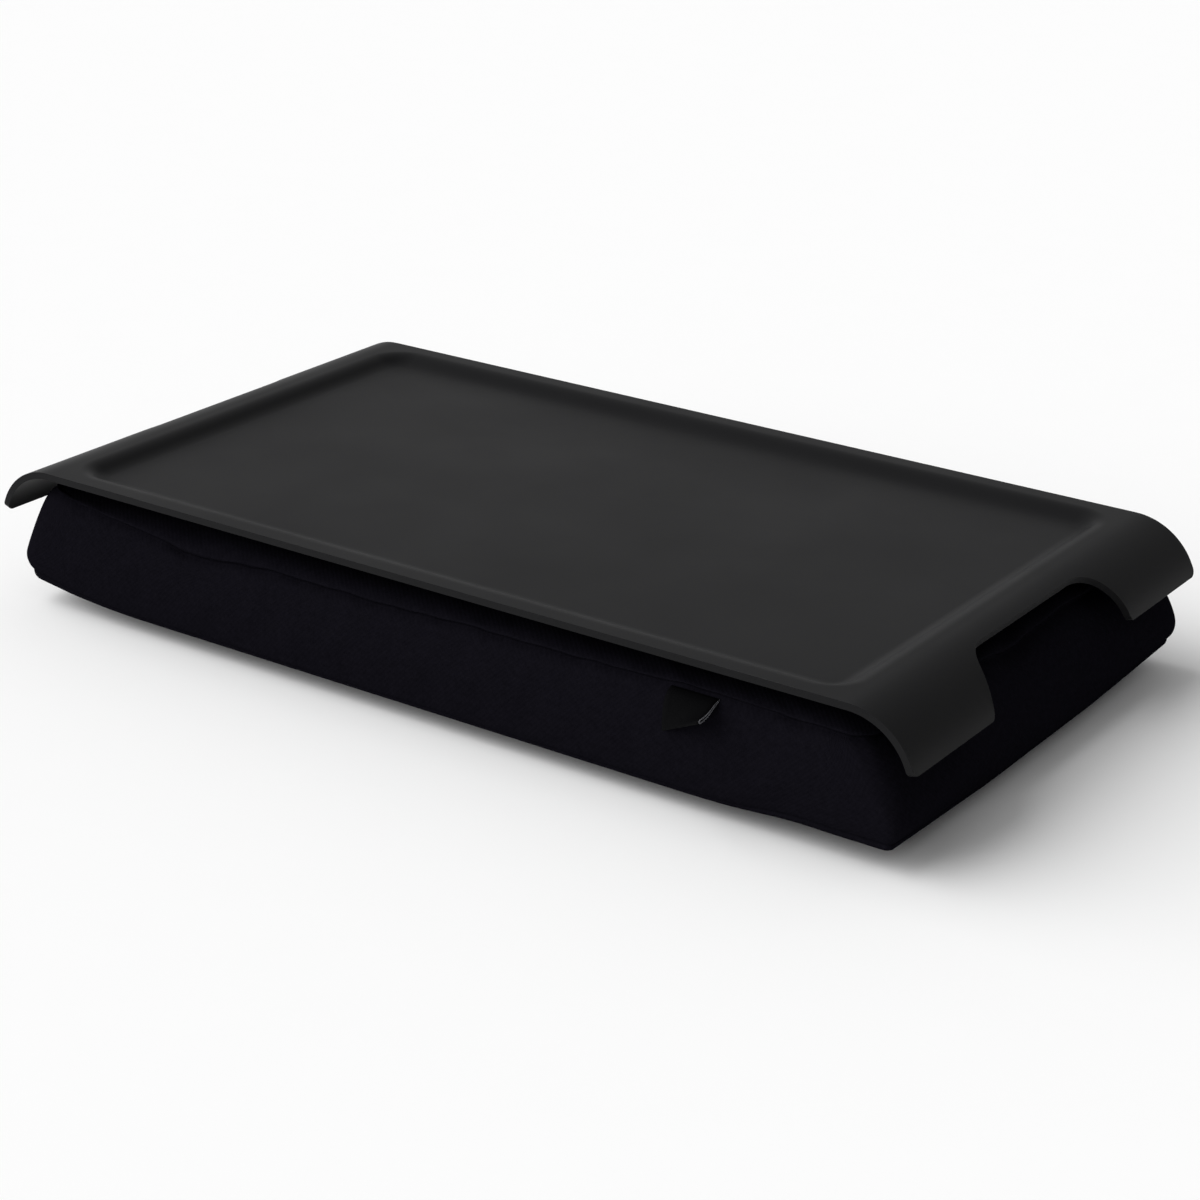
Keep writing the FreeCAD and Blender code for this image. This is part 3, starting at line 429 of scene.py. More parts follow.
class TrayForm:
    """Places on the upper face of the tray, worked out from its sizes."""

    def __init__(self, size):
        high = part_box("tray")[1]
        self.size = size
        self.rim = high.z
        self.half_depth = high.y
        self.half_length = high.x + size.edge_round * EDGE_LOSS
        self.wing_start = self.half_length - size.wing_radius * math.sin(size.wing_sweep)
        self.crest_x = self.wing_start - size.end_rim
        self.crest_y = self.half_depth - size.rim
        self.tip = self.wing_start + size.wing_radius * size.wing_sweep

    def point(self, along, across, depth=0.0):
        """A point of the sheet; along is measured on the curl where the end is curled."""
        radius = self.size.wing_radius
        turn = max(0.0, along - self.wing_start) / radius
        x = min(along, self.wing_start) + radius * math.sin(turn)
        return Vector((x, across, self.rim - depth - radius * (1 - math.cos(turn))))

    def unrolled(self, x):
        """The way along the sheet to a place on the curl."""
        radius = self.size.wing_radius
        reach = min(x - self.wing_start, radius * math.sin(self.size.wing_sweep))
        return self.wing_start + radius * math.asin(reach / radius)

    def profile(self):
        """Offsets from the crest outline and depths, from the flat rim down to the panel."""
        size = self.size
        slope = math.atan(size.recess / size.recess_run)
        crest = size.crest_round * math.tan(slope / 2)
        foot = size.recess_run + size.foot_round * math.tan(slope / 2)
        turns = [slope * share for share in shares(SLOPE_STEPS)]
        upper = [(crest - size.crest_round * math.sin(a), size.crest_round * (1 - math.cos(a)))
                 for a in turns]
        lower = [(size.foot_round * math.sin(a) - foot,
                  size.recess - size.foot_round * (1 - math.cos(a))) for a in reversed(turns)]
        return upper + lower

    def notch(self):
        """Half of the notch's edge, as plan points from its middle to its mouth."""
        size = self.size
        radius = size.wing_radius
        inner = self.half_length - size.notch_reach
        corner, flare = size.notch_corner, size.notch_flare
        bend_y = corner * math.cos(flare)
        bend_x = corner * (1 - math.sin(flare))
        bend_end = size.notch_mouth / 2 - (size.notch_reach - bend_x) * math.tan(flare)
        bend_start = bend_end - bend_y
        points = [(inner, bend_start * share) for share in shares(NOTCH_STEPS)[:-1]]
        for share in shares(BEND_STEPS)[:-1]:
            turn = (math.pi / 2 - flare) * share
            points.append((inner + corner * (1 - math.cos(turn)), bend_start + corner * math.sin(turn)))
        start = self.unrolled(inner + bend_x)
        for share in shares(FLARE_STEPS):
            along = start + (self.tip - start) * share
            x = self.wing_start + radius * math.sin((along - self.wing_start) / radius)
            points.append((x, bend_end + (x - inner - bend_x) * math.tan(flare)))
        return points

    def outline(self):
        """Where the lines along the sheet end: pairs of across and along, from the middle to the rear."""
        size = self.size
        mouth = size.notch_mouth / 2
        ends = [(y, self.unrolled(x)) for x, y in self.notch() if y < mouth - LIP_ROOM * size.lip_round]
        for share in shares(LIP_STEPS):
            turn = math.pi / 2 * share
            ends.append((mouth + size.lip_round * (1 - math.cos(turn)),
                         self.tip - size.lip_round * (1 - math.sin(turn))))
        return ends

    def corner_ends(self, first):
        """The same past the last line of the crest's corner, round the tip of the wing."""
        tip_round = self.size.tip_round
        round_start = self.half_depth - tip_round
        ends = [(first + (round_start - first) * share, self.tip) for share in shares(RIM_STEPS)[1:]]
        for share in shares(TIP_STEPS)[1:]:
            turn = math.pi / 2 * share
            ends.append((round_start + tip_round * math.sin(turn),
                         self.tip - tip_round * (1 - math.cos(turn))))
        return ends


def tray_quarter(form):
    """The upper face of the rear right quarter of the tray."""
    size = form.size
    bm = bmesh.new()
    ends = form.outline()
    centre_x, centre_y = form.crest_x - size.recess_corner, form.crest_y - size.recess_corner
    last = ends[-1][0]
    ends += [(last + (centre_y - last) * share, form.tip) for share in shares(SIDE_STEPS)[1:]]
    across = [y for y, _ in ends]
    arc = [math.pi / 2 * share for share in shares(CORNER_STEPS)[1:-1]]
    along = [centre_x * (1 - share) for share in shares(PANEL_STEPS)]

    def ring(offset):
        radius = size.recess_corner + offset
        points = [(form.crest_x + offset, y) for y in across]
        points += [(centre_x + radius * math.cos(a), centre_y + radius * math.sin(a)) for a in arc]
        return points + [(x, form.crest_y + offset) for x in along]

    profile = form.profile()
    patch(bm, [[form.point(x, y, depth) for x, y in ring(offset)] for offset, depth in profile])

    floor = [form.point(x, y, profile[-1][1]) for x, y in ring(profile[-1][0])]
    split = len(across) + CORNER_STEPS // 2 - 1
    side, back = floor[split::-1], floor[split:]
    middle = Vector((0, 0, floor[0].z))
    patch(bm, coons(side, straight(side[-1], middle, len(back)),
                    straight(back[-1], middle, len(side)), back))

    outer = ring(profile[0][0])
    ends += [(y, form.tip) for _, y in outer[len(across):split + 1]]

    def line(start, end):
        flat = [start + (form.wing_start - start) * share for share in shares(RIM_STEPS)[:-1]]
        return flat + [form.wing_start + (end - form.wing_start) * share for share in shares(CURL_STEPS)]

    lines = [(outer[i][0], y, end) for i, (y, end) in enumerate(ends)]
    corner_x, corner_y = outer[split]
    rounded = form.corner_ends(corner_y)
    lines += [(corner_x, y, end) for y, end in rounded]
    patch(bm, [[form.point(x, y) for x in line(start, end)] for start, y, end in lines])
    strips = [0.0] + [(y - corner_y) / (form.half_depth - corner_y) for y, _ in rounded]
    patch(bm, [[form.point(x, y + (form.half_depth - y) * share) for share in strips]
               for x, y in outer[split:]])
    return bm


def mirrored(bm):
    """A quarter and its mirror images as one sheet that faces up."""
    whole = bmesh.new()
    for x, y in ((1, 1), (-1, 1), (-1, -1), (1, -1)):
        copies = {vert: whole.verts.new((vert.co.x * x, vert.co.y * y, vert.co.z)) for vert in bm.verts}
        for face in bm.faces:
            whole.faces.new([copies[vert] for vert in face.verts])
    bm.free()
    bmesh.ops.remove_doubles(whole, verts=whole.verts, dist=WELD)
    bmesh.ops.dissolve_degenerate(whole, edges=whole.edges, dist=SLIVER)
    bmesh.ops.recalc_face_normals(whole, faces=whole.faces)
    panel = max(whole.faces, key=lambda face: face.calc_area())
    if panel.normal.z < 0:
        bmesh.ops.reverse_faces(whole, faces=whole.faces)
    return whole


class LAPTRAY_OT_tray(Operator):
    """Mould the tray as one sheet and round its edges"""
    bl_idname = "laptray.tray"
    bl_label = "Tray moulding"

    def execute(self, context):
        size = settings().tray
        sheet = mirrored(tray_quarter(TrayForm(size)))
        piece = from_faces("tray_moulding", sheet, moulded_abs())
        modify(piece, "Wall", "SOLIDIFY", thickness=size.wall, offset=-1, use_even_offset=True)
        modify(piece, "Edges", "BEVEL", width=size.edge_round, segments=3, limit_method="ANGLE",
               angle_limit=math.radians(50))
        modify(piece, "Normals", "WEIGHTED_NORMAL", keep_sharp=True)
        attach(piece, "tray", "tray_plastic", "tray")
        return {"FINISHED"}


# Cushion

# Spacing of the cover's points, and of those of the inner bag, which hardly shows.
COVER_STEP, BAG_STEP = 4.6 * MM, 9 * MM
# Shares of the way up each part at which the cover has a row; None is an edge of the zip's slit.
BASE_ROWS = (0, 0.2, 0.4, 0.55, 0.68, 0.8)
BAND_ROWS = (0.08, 0.16, 0.25, 0.33, 0.41, None, None, 0.58, 0.66, 0.75, 0.84, 0.92)
TOP_ROWS = (0.18, 0.3, 0.45, 0.6, 0.8, 1)
# The same for the rows right beside the two seams.
BASE_LIP, LOW_LIP, HIGH_LIP, TOP_LIP = 0.9, 0.022, 0.97, 0.075
# Degrees of turn at which an outline has points on its corners, before and after a side's straight run.
BEFORE_RUN, AFTER_RUN = (0, 15, 30), (60, 75)
# Least room between the last fixed column and a corner, and least radius of a corner.
COLUMN_ROOM, LEAST_CORNER = 2 * MM, 1 * MM
# Distance of the columns each side of the upright seams at the zip's ends.
SIDE_SEAM = 1.5 * MM
# Where the front of the top seam sags or rises: place, height and width in millimetres.
FRONT_SAGS = ((-192, 6, 23), (-110, -4.4, 26), (-30, -2, 70), (125, 1.4, 50))
# The same for the bottom of the front, which rises a little before its right corner.
LOW_SAGS = ((168, 4, 22),)
# How far in front of the middle the sags begin, and the run over which they come in full.
SAG_START, SAG_RUN = 40 * MM, 50 * MM
# Waves along the cover: pitch in millimetres, start in radians and share of the height.
TOP_WAVES = ((151, 2.6, 0.7), (97, 5.2, 0.6), (53, 2.1, 0.35))
LOW_WAVES = ((97, 1.0, 0.6), (53, 4.1, 0.5))
PUCKERS = ((13, 0.9, 0.6), (19, 4.0, 0.6), (31, 2.0, 0.4))
# How much faster the waves run along the ends, so that the corners don't repeat.
WAVE_SLANT = 1.7
# How far below the top seam its waves reach, and how far along the sides the corners are lifted.
SEAM_REACH, LIFT_REACH = 16 * MM, 70 * MM
# Share of the lift on the base, share of the waves that gives way to the sags, and share of the puckers'
# depth by which they raise the seam.
BASE_LIFT, SAG_SHARE, SEAM_PUCKER = 0.6, 0.7, 0.8
# Dents in the top: their depth, their sizes, their shift in radians and how far from the pads they fade.
DENT, DENT_X, DENT_Y, DENT_START, DENT_FADE = 0.8 * MM, 23 * MM, 17 * MM, 0.8, 12 * MM
# Frames over which the filling swells.
FILL_FRAMES = 20


def through(keys, share):
    """The value at a share of the way along a smooth curve through three values."""
    first, middle, last = keys
    return (first * (1 - share) * (1 - 2 * share) + middle * 4 * share * (1 - share)
            + last * share * (2 * share - 1))


class CushionForm:
    """Level outlines of the cushion from its base to its crown, drawn in by an inset."""

    def __init__(self, size, inset=0.0):
        top_low, top_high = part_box("top_panel")
        base_low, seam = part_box("bottom_panel")
        slit_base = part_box("rear_band_lower")[1]
        slit_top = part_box("rear_band_upper")[0]
        self.size = size
        self.inset = inset
        self.sunk = {"seam": size.seam_depth, "lip": size.lip_depth,
                     "low_seam": size.low_seam_depth, "low_lip": size.low_lip_depth}
        self.slit = (slit_base.z, slit_top.z)
        self.zip_end = slit_base.x
        top = Vector((top_high.x, top_high.y, top_low.z))

        def inward(start, margin, height):
            return Vector((start.x - margin, start.y - margin, height))

        belly = inward(seam, -size.belly_bulge, size.belly_height)
        heel = inward(seam, size.heel_margin, size.heel_height + inset)
        base = inward(seam, size.base_margin, base_low.z + inset)
        shoulder = inward(top, size.shoulder_margin, top_high.z - size.shoulder_drop - inset)
        crown = inward(top, size.crown_margin, top_high.z - inset)
        self.parts = {"base": (base, heel, seam), "band": (seam, belly, top),
                      "top": (top, shoulder, crown)}
        self.straight_x = top.x - size.corner
        self.straight_y = top.y - size.corner

    def row(self, part, share):
        """Half length, half depth and height of the outline at a share of the way up a part."""
        keys = self.parts[part]
        spot = Vector([through([key[k] for key in keys], share) for k in range(3)])
        return Vector((spot.x - self.inset, spot.y - self.inset, spot.z))

    def slit_share(self, height):
        """How far up the band a height near the belly is."""
        low, _, high = self.parts["band"]
        return 0.5 + (height - self.size.belly_height) / (high.z - low.z)

    def at_rear(self, point):
        """Whether a point is on the rear side."""
        return point.y > self.straight_y


def outline(half_x, half_y, left, right, columns_x, columns_y):
    """Points round a rectangle with rounded corners from its front left, on the columns that fit."""
    def half_side(columns, run):
        scale = min(1.0, run / (columns[-2] + COLUMN_ROOM))
        return [c * scale for c in columns[:-1]] + [run]

    def joined(first, second):
        return [-p for p in reversed(first)] + second

    def on_corner(degrees):
        x, y = math.cos(math.radians(degrees)), math.sin(math.radians(degrees))
        corner = right if x > 0 else left
        return (math.copysign(half_x - corner, x) + corner * x,
                math.copysign(half_y - corner, y) + corner * y)

    run_x = joined(half_side(columns_x, half_x - left), half_side(columns_x, half_x - right))
    left_y, right_y = (joined(run, run) for run in (half_side(columns_y, half_y - left),
                                                    half_side(columns_y, half_y - right)))
    sides = ((225, [(x, -half_y) for x in run_x]),
             (315, [(half_x, y) for y in right_y]),
             (45, [(x, half_y) for x in reversed(run_x)]),
             (135, [(-half_x, y) for y in reversed(left_y)]))
    points = []
    for start, run in sides:
        points += [on_corner(start + turn) for turn in BEFORE_RUN]
        points += run
        points += [on_corner(start + turn) for turn in AFTER_RUN]
    return points


def side_starts(columns_x, columns_y):
    """Index of the first point of each side in an outline, and the number of points in all."""
    on_corner = len(BEFORE_RUN) + len(AFTER_RUN)
    counts = [2 * len(columns) + on_corner for columns in (columns_x, columns_y)] * 2
    return [sum(counts[:i]) for i in range(5)]


def panel_edges(ring, starts):
    """The four sides of an outline: front and back from the left, right and left from the front."""
    front = ring[starts[0]:starts[1] + 1]
    right = ring[starts[1]:starts[2] + 1]
    back = ring[starts[2]:starts[3] + 1][::-1]
    left = (ring[starts[3]:] + ring[:1])[::-1]
    return front, right, back, left


def cushion_rows(form):
    """Rows of the cover from base to crown, with the part that each belongs to."""
    slits = [form.slit_share(height) for height in form.slit]
    rows = [("base", form.row("base", share)) for share in BASE_ROWS]
    rows += [("low_lip", form.row("base", BASE_LIP)), ("low_seam", form.row("band", 0)),
             ("low_lip", form.row("band", LOW_LIP))]
    for share in BAND_ROWS:
        rows.append(("slit", form.row("band", slits.pop(0))) if share is None
                    else ("band", form.row("band", share)))
    rows += [("lip", form.row("band", HIGH_LIP)), ("seam", form.row("band", 1)),
             ("lip", form.row("top", TOP_LIP))]
    rows += [("top", form.row("top", share)) for share in TOP_ROWS]
    return rows


def columns(widest, step, extra=()):
    """Positions from the middle out at about one step, ending in the given extra ones and the widest."""
    end = extra[0] - step if extra else widest - step
    count = round(end / step)
    return [end * (i + 0.5) / (count + 0.5) for i in range(count + 1)] + list(extra) + [widest]


class CoverMesh:
    """The cover as a closed sheet of quads whose rows and columns are known."""

    def __init__(self, form, step):
        side_seam = [form.zip_end + aside for aside in (-SIDE_SEAM, 0, SIDE_SEAM)]
        columns_x = columns(form.straight_x, step, side_seam)
        columns_y = columns(form.straight_y, step)
        self.starts = side_starts(columns_x, columns_y)
        self.count = self.starts[-1]
        self.rows = cushion_rows(form)
        self.points = []
        self.kinds = []
        self.faces = []
        self.uvs = []
        self.slit_faces = []
        self.add_rings(form, columns_x, columns_y)
        self.add_ring_faces(form)
        self.add_panel(0, flip=True)
        self.add_panel(len(self.rows) - 1, flip=False)

    def add_rings(self, form, columns_x, columns_y):
        """The points of each row."""
        size = form.size
        low, _, high = form.parts["band"]
        for kind, row in self.rows:
            sunk = form.sunk.get(kind, 0.0)
            rise = min(1, max(0, (row.z - low.z) / (high.z - low.z)))
            corners = [max(LEAST_CORNER, corner + (size.corner - corner) * rise - form.inset - sunk)
                       for corner in (size.left_corner, size.right_corner)]
            ring = outline(row.x - sunk, row.y - sunk, *corners, columns_x, columns_y)
            self.points += [Vector((x, y, row.z)) for x, y in ring]
            self.kinds += [kind] * len(ring)

    def lengths(self):
        """Lengths of cloth round the cover at its slit, and up its side, to each column and row."""
        slit = self.kinds.index("slit")
        ring = self.points[slit:slit + self.count]
        around = [(after - before).length for before, after in zip(ring, ring[1:] + ring[:1])]
        upward = [(b.xz - a.xz).length for (_, a), (_, b) in zip(self.rows, self.rows[1:])]
        return [np.concatenate([[0], np.cumsum(steps)]) for steps in (around, upward)]

    def add_ring_faces(self, form):
        """Quads between the rows, with the cloth's own coordinates."""
        around, upward = self.lengths()
        for r in range(len(self.rows) - 1):
            kinds = (self.rows[r][0], self.rows[r + 1][0])
            flat = "base" in kinds or "top" in kinds
            for i in range(self.count):
                spots = ((r, i), (r, i + 1), (r + 1, i + 1), (r + 1, i))
                quad = [row * self.count + column % self.count for row, column in spots]
                if kinds == ("slit", "slit"):
                    middle = (self.points[quad[0]] + self.points[quad[1]]) / 2
                    if form.at_rear(middle) and abs(middle.x) < form.zip_end:
                        self.slit_faces.append(len(self.faces))
                self.faces.append(quad)
                self.uvs.append([self.points[v].xy for v in quad] if flat else
                                [(around[column], upward[row]) for row, column in spots])

    def add_panel(self, row, flip):
        """Fill the inside of a row with a sheet that is joined to it all round."""
        ring = list(range(row * self.count, (row + 1) * self.count))
        edges = panel_edges(ring, self.starts)
        front, right, back, left = edges
        indices = [front]
        for b, line in enumerate(coons(*[[self.points[i] for i in edge] for edge in edges])[1:-1], 1):
            inner = range(len(self.points), len(self.points) + len(line) - 2)
            self.points += line[1:-1]
            self.kinds += [self.rows[row][0] + "_panel"] * len(inner)
            indices.append([left[b], *inner, right[b]])
        indices.append(back)
        for lower, upper in zip(indices, indices[1:]):
            for k in range(len(lower) - 1):
                quad = [lower[k], lower[k + 1], upper[k + 1], upper[k]]
                if flip:
                    quad.reverse()
                self.faces.append(quad)
                self.uvs.append([self.points[v].xy for v in quad])

    def mesh(self, name):
        mesh = bpy.data.meshes.new(name)
        mesh.from_pydata(self.points, [], self.faces)
        layer = mesh.uv_layers.new(name="Cloth")
        layer.data.foreach_set("uv", [c for uvs in self.uvs for uv in uvs for c in uv])
        return mesh


def wander(path, waves):
    """Sum of sine waves along a path."""
    turns = 2 * math.pi * path / MM
    return sum(share * math.sin(turns / pitch + start) for pitch, start, share in waves)


def sagged(x, sags):
    """How far the front is raised at a place along it."""
    return sum(height * MM * math.exp(-((x / MM - place) / width) ** 2) for place, height, width in sags)


def pad_clearance(point):
    """Distance in plan from a point to the nearest loop pad."""
    nearest = math.inf
    for corner in CORNERS:
        low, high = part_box("loop_pad_" + corner)
        aside = max(low.x - point.x, point.x - high.x, 0)
        across = max(low.y - point.y, point.y - high.y, 0)
        nearest = min(nearest, math.hypot(aside, across))
    return nearest


def worn_in(form, cover):
    """Settle the points of the cover before it is filled: wandering seams, puckers, lifted corners."""
    size = form.size
    half = form.row("band", 0.5)
    top, crown = form.parts["top"][0].z, form.parts["top"][2].z
    for point, kind in zip(cover.points, cover.kinds):
        in_panel = kind.endswith("_panel")
        path = point.x + WAVE_SLANT * point.y
        fade = crown - top if point.z > top else SEAM_REACH
        near_top = max(0, 1 - abs(point.z - top) / fade)
        near_base = max(0, 1 - point.z / size.belly_height)
        front = min(1, max(0, (-point.y - SAG_START) / SAG_RUN))
        ripple = size.gather * wander(path, PUCKERS)
        if kind not in ("base", "slit") and not in_panel:
            wave = (1 - SAG_SHARE * front) * size.top_wave * wander(path, TOP_WAVES)
            point.z += near_top * (front * sagged(point.x, FRONT_SAGS) + wave)
            point.z += near_top ** 4 * SEAM_PUCKER * ripple
            point.z += near_base * size.low_wave * wander(path, LOW_WAVES)
        if kind == "band" and point.z > size.belly_height:
            pucker = near_top * ripple
            point.y += math.copysign(pucker, point.y) * (abs(point.x) < form.straight_x)
            point.x += math.copysign(pucker, point.x) * (abs(point.y) < form.straight_y)
        near_x = max(0, abs(point.x) - half.x + LIFT_REACH) / LIFT_REACH
        near_y = max(0, abs(point.y) - half.y + LIFT_REACH) / LIFT_REACH
        lift = size.left_lift if point.x < 0 else size.right_lift
        share = {"base": BASE_LIFT, "base_panel": 0, "top": 0, "top_panel": 0}.get(kind, 1)
        if point.x < 0 and not in_panel:
            tuck = size.left_tuck * (near_x * near_y) ** 2 * (near_top if kind == "top" else 1)
            point.x += tuck
            point.y -= math.copysign(tuck, point.y)
        point.z += share * near_base * (lift * near_x ** 2 * near_y + front * sagged(point.x, LOW_SAGS))
        if kind == "top_panel":
            dent = 0.5 + 0.5 * math.sin(point.x / DENT_X) * math.sin(point.y / DENT_Y + DENT_START)
            point.z -= DENT * dent * min(1, pad_clearance(point) / DENT_FADE)


def filled(cover_mesh, pins, size):
    """Blow the cover up against its seams with a cloth simulation and return the new points."""
    scene = bpy.context.scene
    piece = new_piece("cover_cloth", cover_mesh)
    group = piece.vertex_groups.new(name="Pins")
    for weight in (0.0, 1.0):
        group.add([i for i, held in enumerate(pins) if held == weight], weight, "REPLACE")
    cloth = piece.modifiers.new("Filling", "CLOTH")
    stuff = {"quality": 6, "mass": 0.3, "tension_stiffness": 20, "compression_stiffness": 20,
             "shear_stiffness": 8, "bending_stiffness": 0.6, "use_pressure": True,
             "uniform_pressure_force": size.pressure, "shrink_min": -size.slack,
             "vertex_group_mass": "Pins"}
    for name, value in stuff.items():
        setattr(cloth.settings, name, value)
    cloth.settings.effector_weights.gravity = 0
    cloth.collision_settings.use_collision = False
    cloth.point_cache.frame_start = 1
    cloth.point_cache.frame_end = FILL_FRAMES
    for number in range(1, FILL_FRAMES + 1):
        scene.frame_set(number)
    result = piece.evaluated_get(bpy.context.evaluated_depsgraph_get()).data
    points = np.empty(len(result.vertices) * 3, np.float32)
    result.vertices.foreach_get("co", points)
    bpy.data.objects.remove(piece)
    scene.frame_set(1)
    return points.reshape(-1, 3)


class LAPTRAY_OT_cover(Operator):
    """Sew the cushion's cover, fill it and cut the slit for its zip"""
    bl_idname = "laptray.cover"
    bl_label = "Cushion cover"

    # How far the zip holds the cloth, up and down and past its ends, and the breadth of its side seams.
    zip_hold, zip_past, seam_breadth = 7 * MM, 2 * MM, 0.5 * MM
    # How far the filled top may stand above the solid's, and the width of the hem along the slit.
    top_room, hem = 1 * MM, 1.4 * MM
    # How sharp the hem and the seams stay when the cloth is smoothed.
    hem_crease, seam_crease = 0.7, 0.8

    def execute(self, context):
        size = settings().cushion
        form = CushionForm(size)
        cover = CoverMesh(form, COVER_STEP)
        worn_in(form, cover)
        mesh = cover.mesh("cushion_cover")
        moved = self.capped(form, cover, filled(mesh, self.pins(form, cover), size))
        mesh = cover.mesh("cushion_cover")
        mesh.vertices.foreach_set("co", moved.astype(np.float32).ravel())
        self.cut_slit(cover, mesh)
        piece = new_piece("cushion_cover", mesh, cotton_canvas())
        modify(piece, "Smooth", "SUBSURF", levels=1, render_levels=1)
        attach(piece, "cushion", "cover_cotton", "top_panel", "side_band", "rear_band_upper",
               "rear_band_lower", "bottom_panel")
        return {"FINISHED"}

    def pins(self, form, cover):
        """Which points are held: those of the seams, the pressed panels and the zip's edges."""
        held = []
        zip_middle = sum(form.slit) / 2
        for point, kind in zip(cover.points, cover.kinds):
            past_end = abs(point.x) - form.zip_end
            at_zip = abs(point.z - zip_middle) < self.zip_hold and past_end < self.zip_past
            at_side_seam = kind == "band" and abs(past_end) < self.seam_breadth
            held.append(kind in form.sunk or kind == "base" or kind.endswith("_panel")
                        or form.at_rear(point) and (at_zip or at_side_seam))
        return held

    def capped(self, form, cover, moved):
        """Limit how far the filling pushed each point, and keep clear of the floor and the tray."""
        rest = np.array(cover.points)
        shift = moved - rest
        reach = np.linalg.norm(shift, axis=1, keepdims=True)
        shift *= np.minimum(1, form.size.swell / np.maximum(reach, 1e-9))
        points = rest + shift
        points[:, 2] = np.clip(points[:, 2], 0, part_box("top_panel")[1].z + self.top_room)
        return points

    def cut_slit(self, cover, mesh):
        """Open the slit, turn its edges in and draw the seams tight."""
        bm = bmesh.new()
        bm.from_mesh(mesh)
        crease = bm.edges.layers.float.new("crease_edge")
        bm.faces.ensure_lookup_table()
        bmesh.ops.delete(bm, geom=[bm.faces[i] for i in cover.slit_faces], context="FACES_ONLY")
        loose = [edge for edge in bm.edges if not edge.link_faces]
        bmesh.ops.delete(bm, geom=loose, context="EDGES")
        rim = [edge for edge in bm.edges if edge.is_boundary]
        for edge in rim:
            edge[crease] = self.hem_crease
        turned = bmesh.ops.extrude_edge_only(bm, edges=rim)
        for item in turned["geom"]:
            if isinstance(item, bmesh.types.BMVert):
                item.co.y -= self.hem
        bm.verts.ensure_lookup_table()
        seams = {i for i, kind in enumerate(cover.kinds) if kind.endswith("seam")}
        for edge in bm.edges:
            if edge.verts[0].index in seams and edge.verts[1].index in seams:
                edge[crease] = self.seam_crease
        bm.to_mesh(mesh)
        bm.free()


class LAPTRAY_OT_inner_cushion(Operator):
    """Make the inner bag with its filling, which shows a little behind the zip"""
    bl_idname = "laptray.inner_cushion"
    bl_label = "Inner cushion"

    # Distances of the bag from the cover, from the back of the slider, and beside and above the tapes.
    inset, slider_room, end_room, tape_room = 6 * MM, 1 * MM, 3 * MM, 2 * MM

    def execute(self, context):
        form = CushionForm(settings().cushion, self.inset)
        bag = CoverMesh(form, BAG_STEP)
        worn_in(form, bag)
        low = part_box("zip_tape_lower")[0].z - self.tape_room
        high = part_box("zip_tape_upper")[1].z + self.tape_room
        slider_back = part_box("zip_slider")[0].y - self.slider_room
        for point in bag.points:
            if abs(point.x) < form.zip_end + self.end_room and low < point.z < high:
                point.y = min(point.y, slider_back)
        piece = new_piece("inner_cushion", bag.mesh("inner_cushion"), liner_cotton())
        attach(piece, "cushion", "liner_cloth", "liner_bag", "bead_fill")
        return {"FINISHED"}


# Geometry Nodes

def new_tree(name, **sockets):
    """A Geometry Nodes tree with named inputs after its geometry, each with its kind."""
    tree = bpy.data.node_groups.new(name, "GeometryNodeTree")
    tree.interface.new_socket("Geometry", in_out="INPUT", socket_type="NodeSocketGeometry")
    tree.interface.new_socket("Geometry", in_out="OUTPUT", socket_type="NodeSocketGeometry")
    for socket, kind in sockets.items():
        tree.interface.new_socket(socket, in_out="INPUT", socket_type="NodeSocket" + kind)
    return tree, tree.nodes.new("NodeGroupInput").outputs, tree.nodes.new("NodeGroupOutput").inputs


def strand(tree, curve, radius, sides):
    """A round strand along a curve."""
    ring = add(tree, "GeometryNodeCurvePrimitiveCircle", {"Resolution": sides, "Radius": radius})
    return add(tree, "GeometryNodeCurveToMesh", {"Curve": curve, "Profile Curve": ring,
                                                 "Fill Caps": True})


def plain(tree, geometry, material):
    """The end of each tree: a geometry with its instances made real, in one material."""
    real = add(tree, "GeometryNodeRealizeInstances", {"Geometry": geometry})
    dyed = add(tree, "GeometryNodeSetMaterial", {"Geometry": real, "Material": material})
    return dyed.outputs["Geometry"]


def grow(piece, tree, **values):
    """Run a Geometry Nodes tree on a piece with the given inputs and keep the plain mesh."""
    modifier = modify(piece, tree.name, "NODES", node_group=tree)
    for item in tree.interface.items_tree:
        if item.in_out == "INPUT" and item.name in values:
            modifier[item.identifier] = values[item.name]
    return baked(piece)


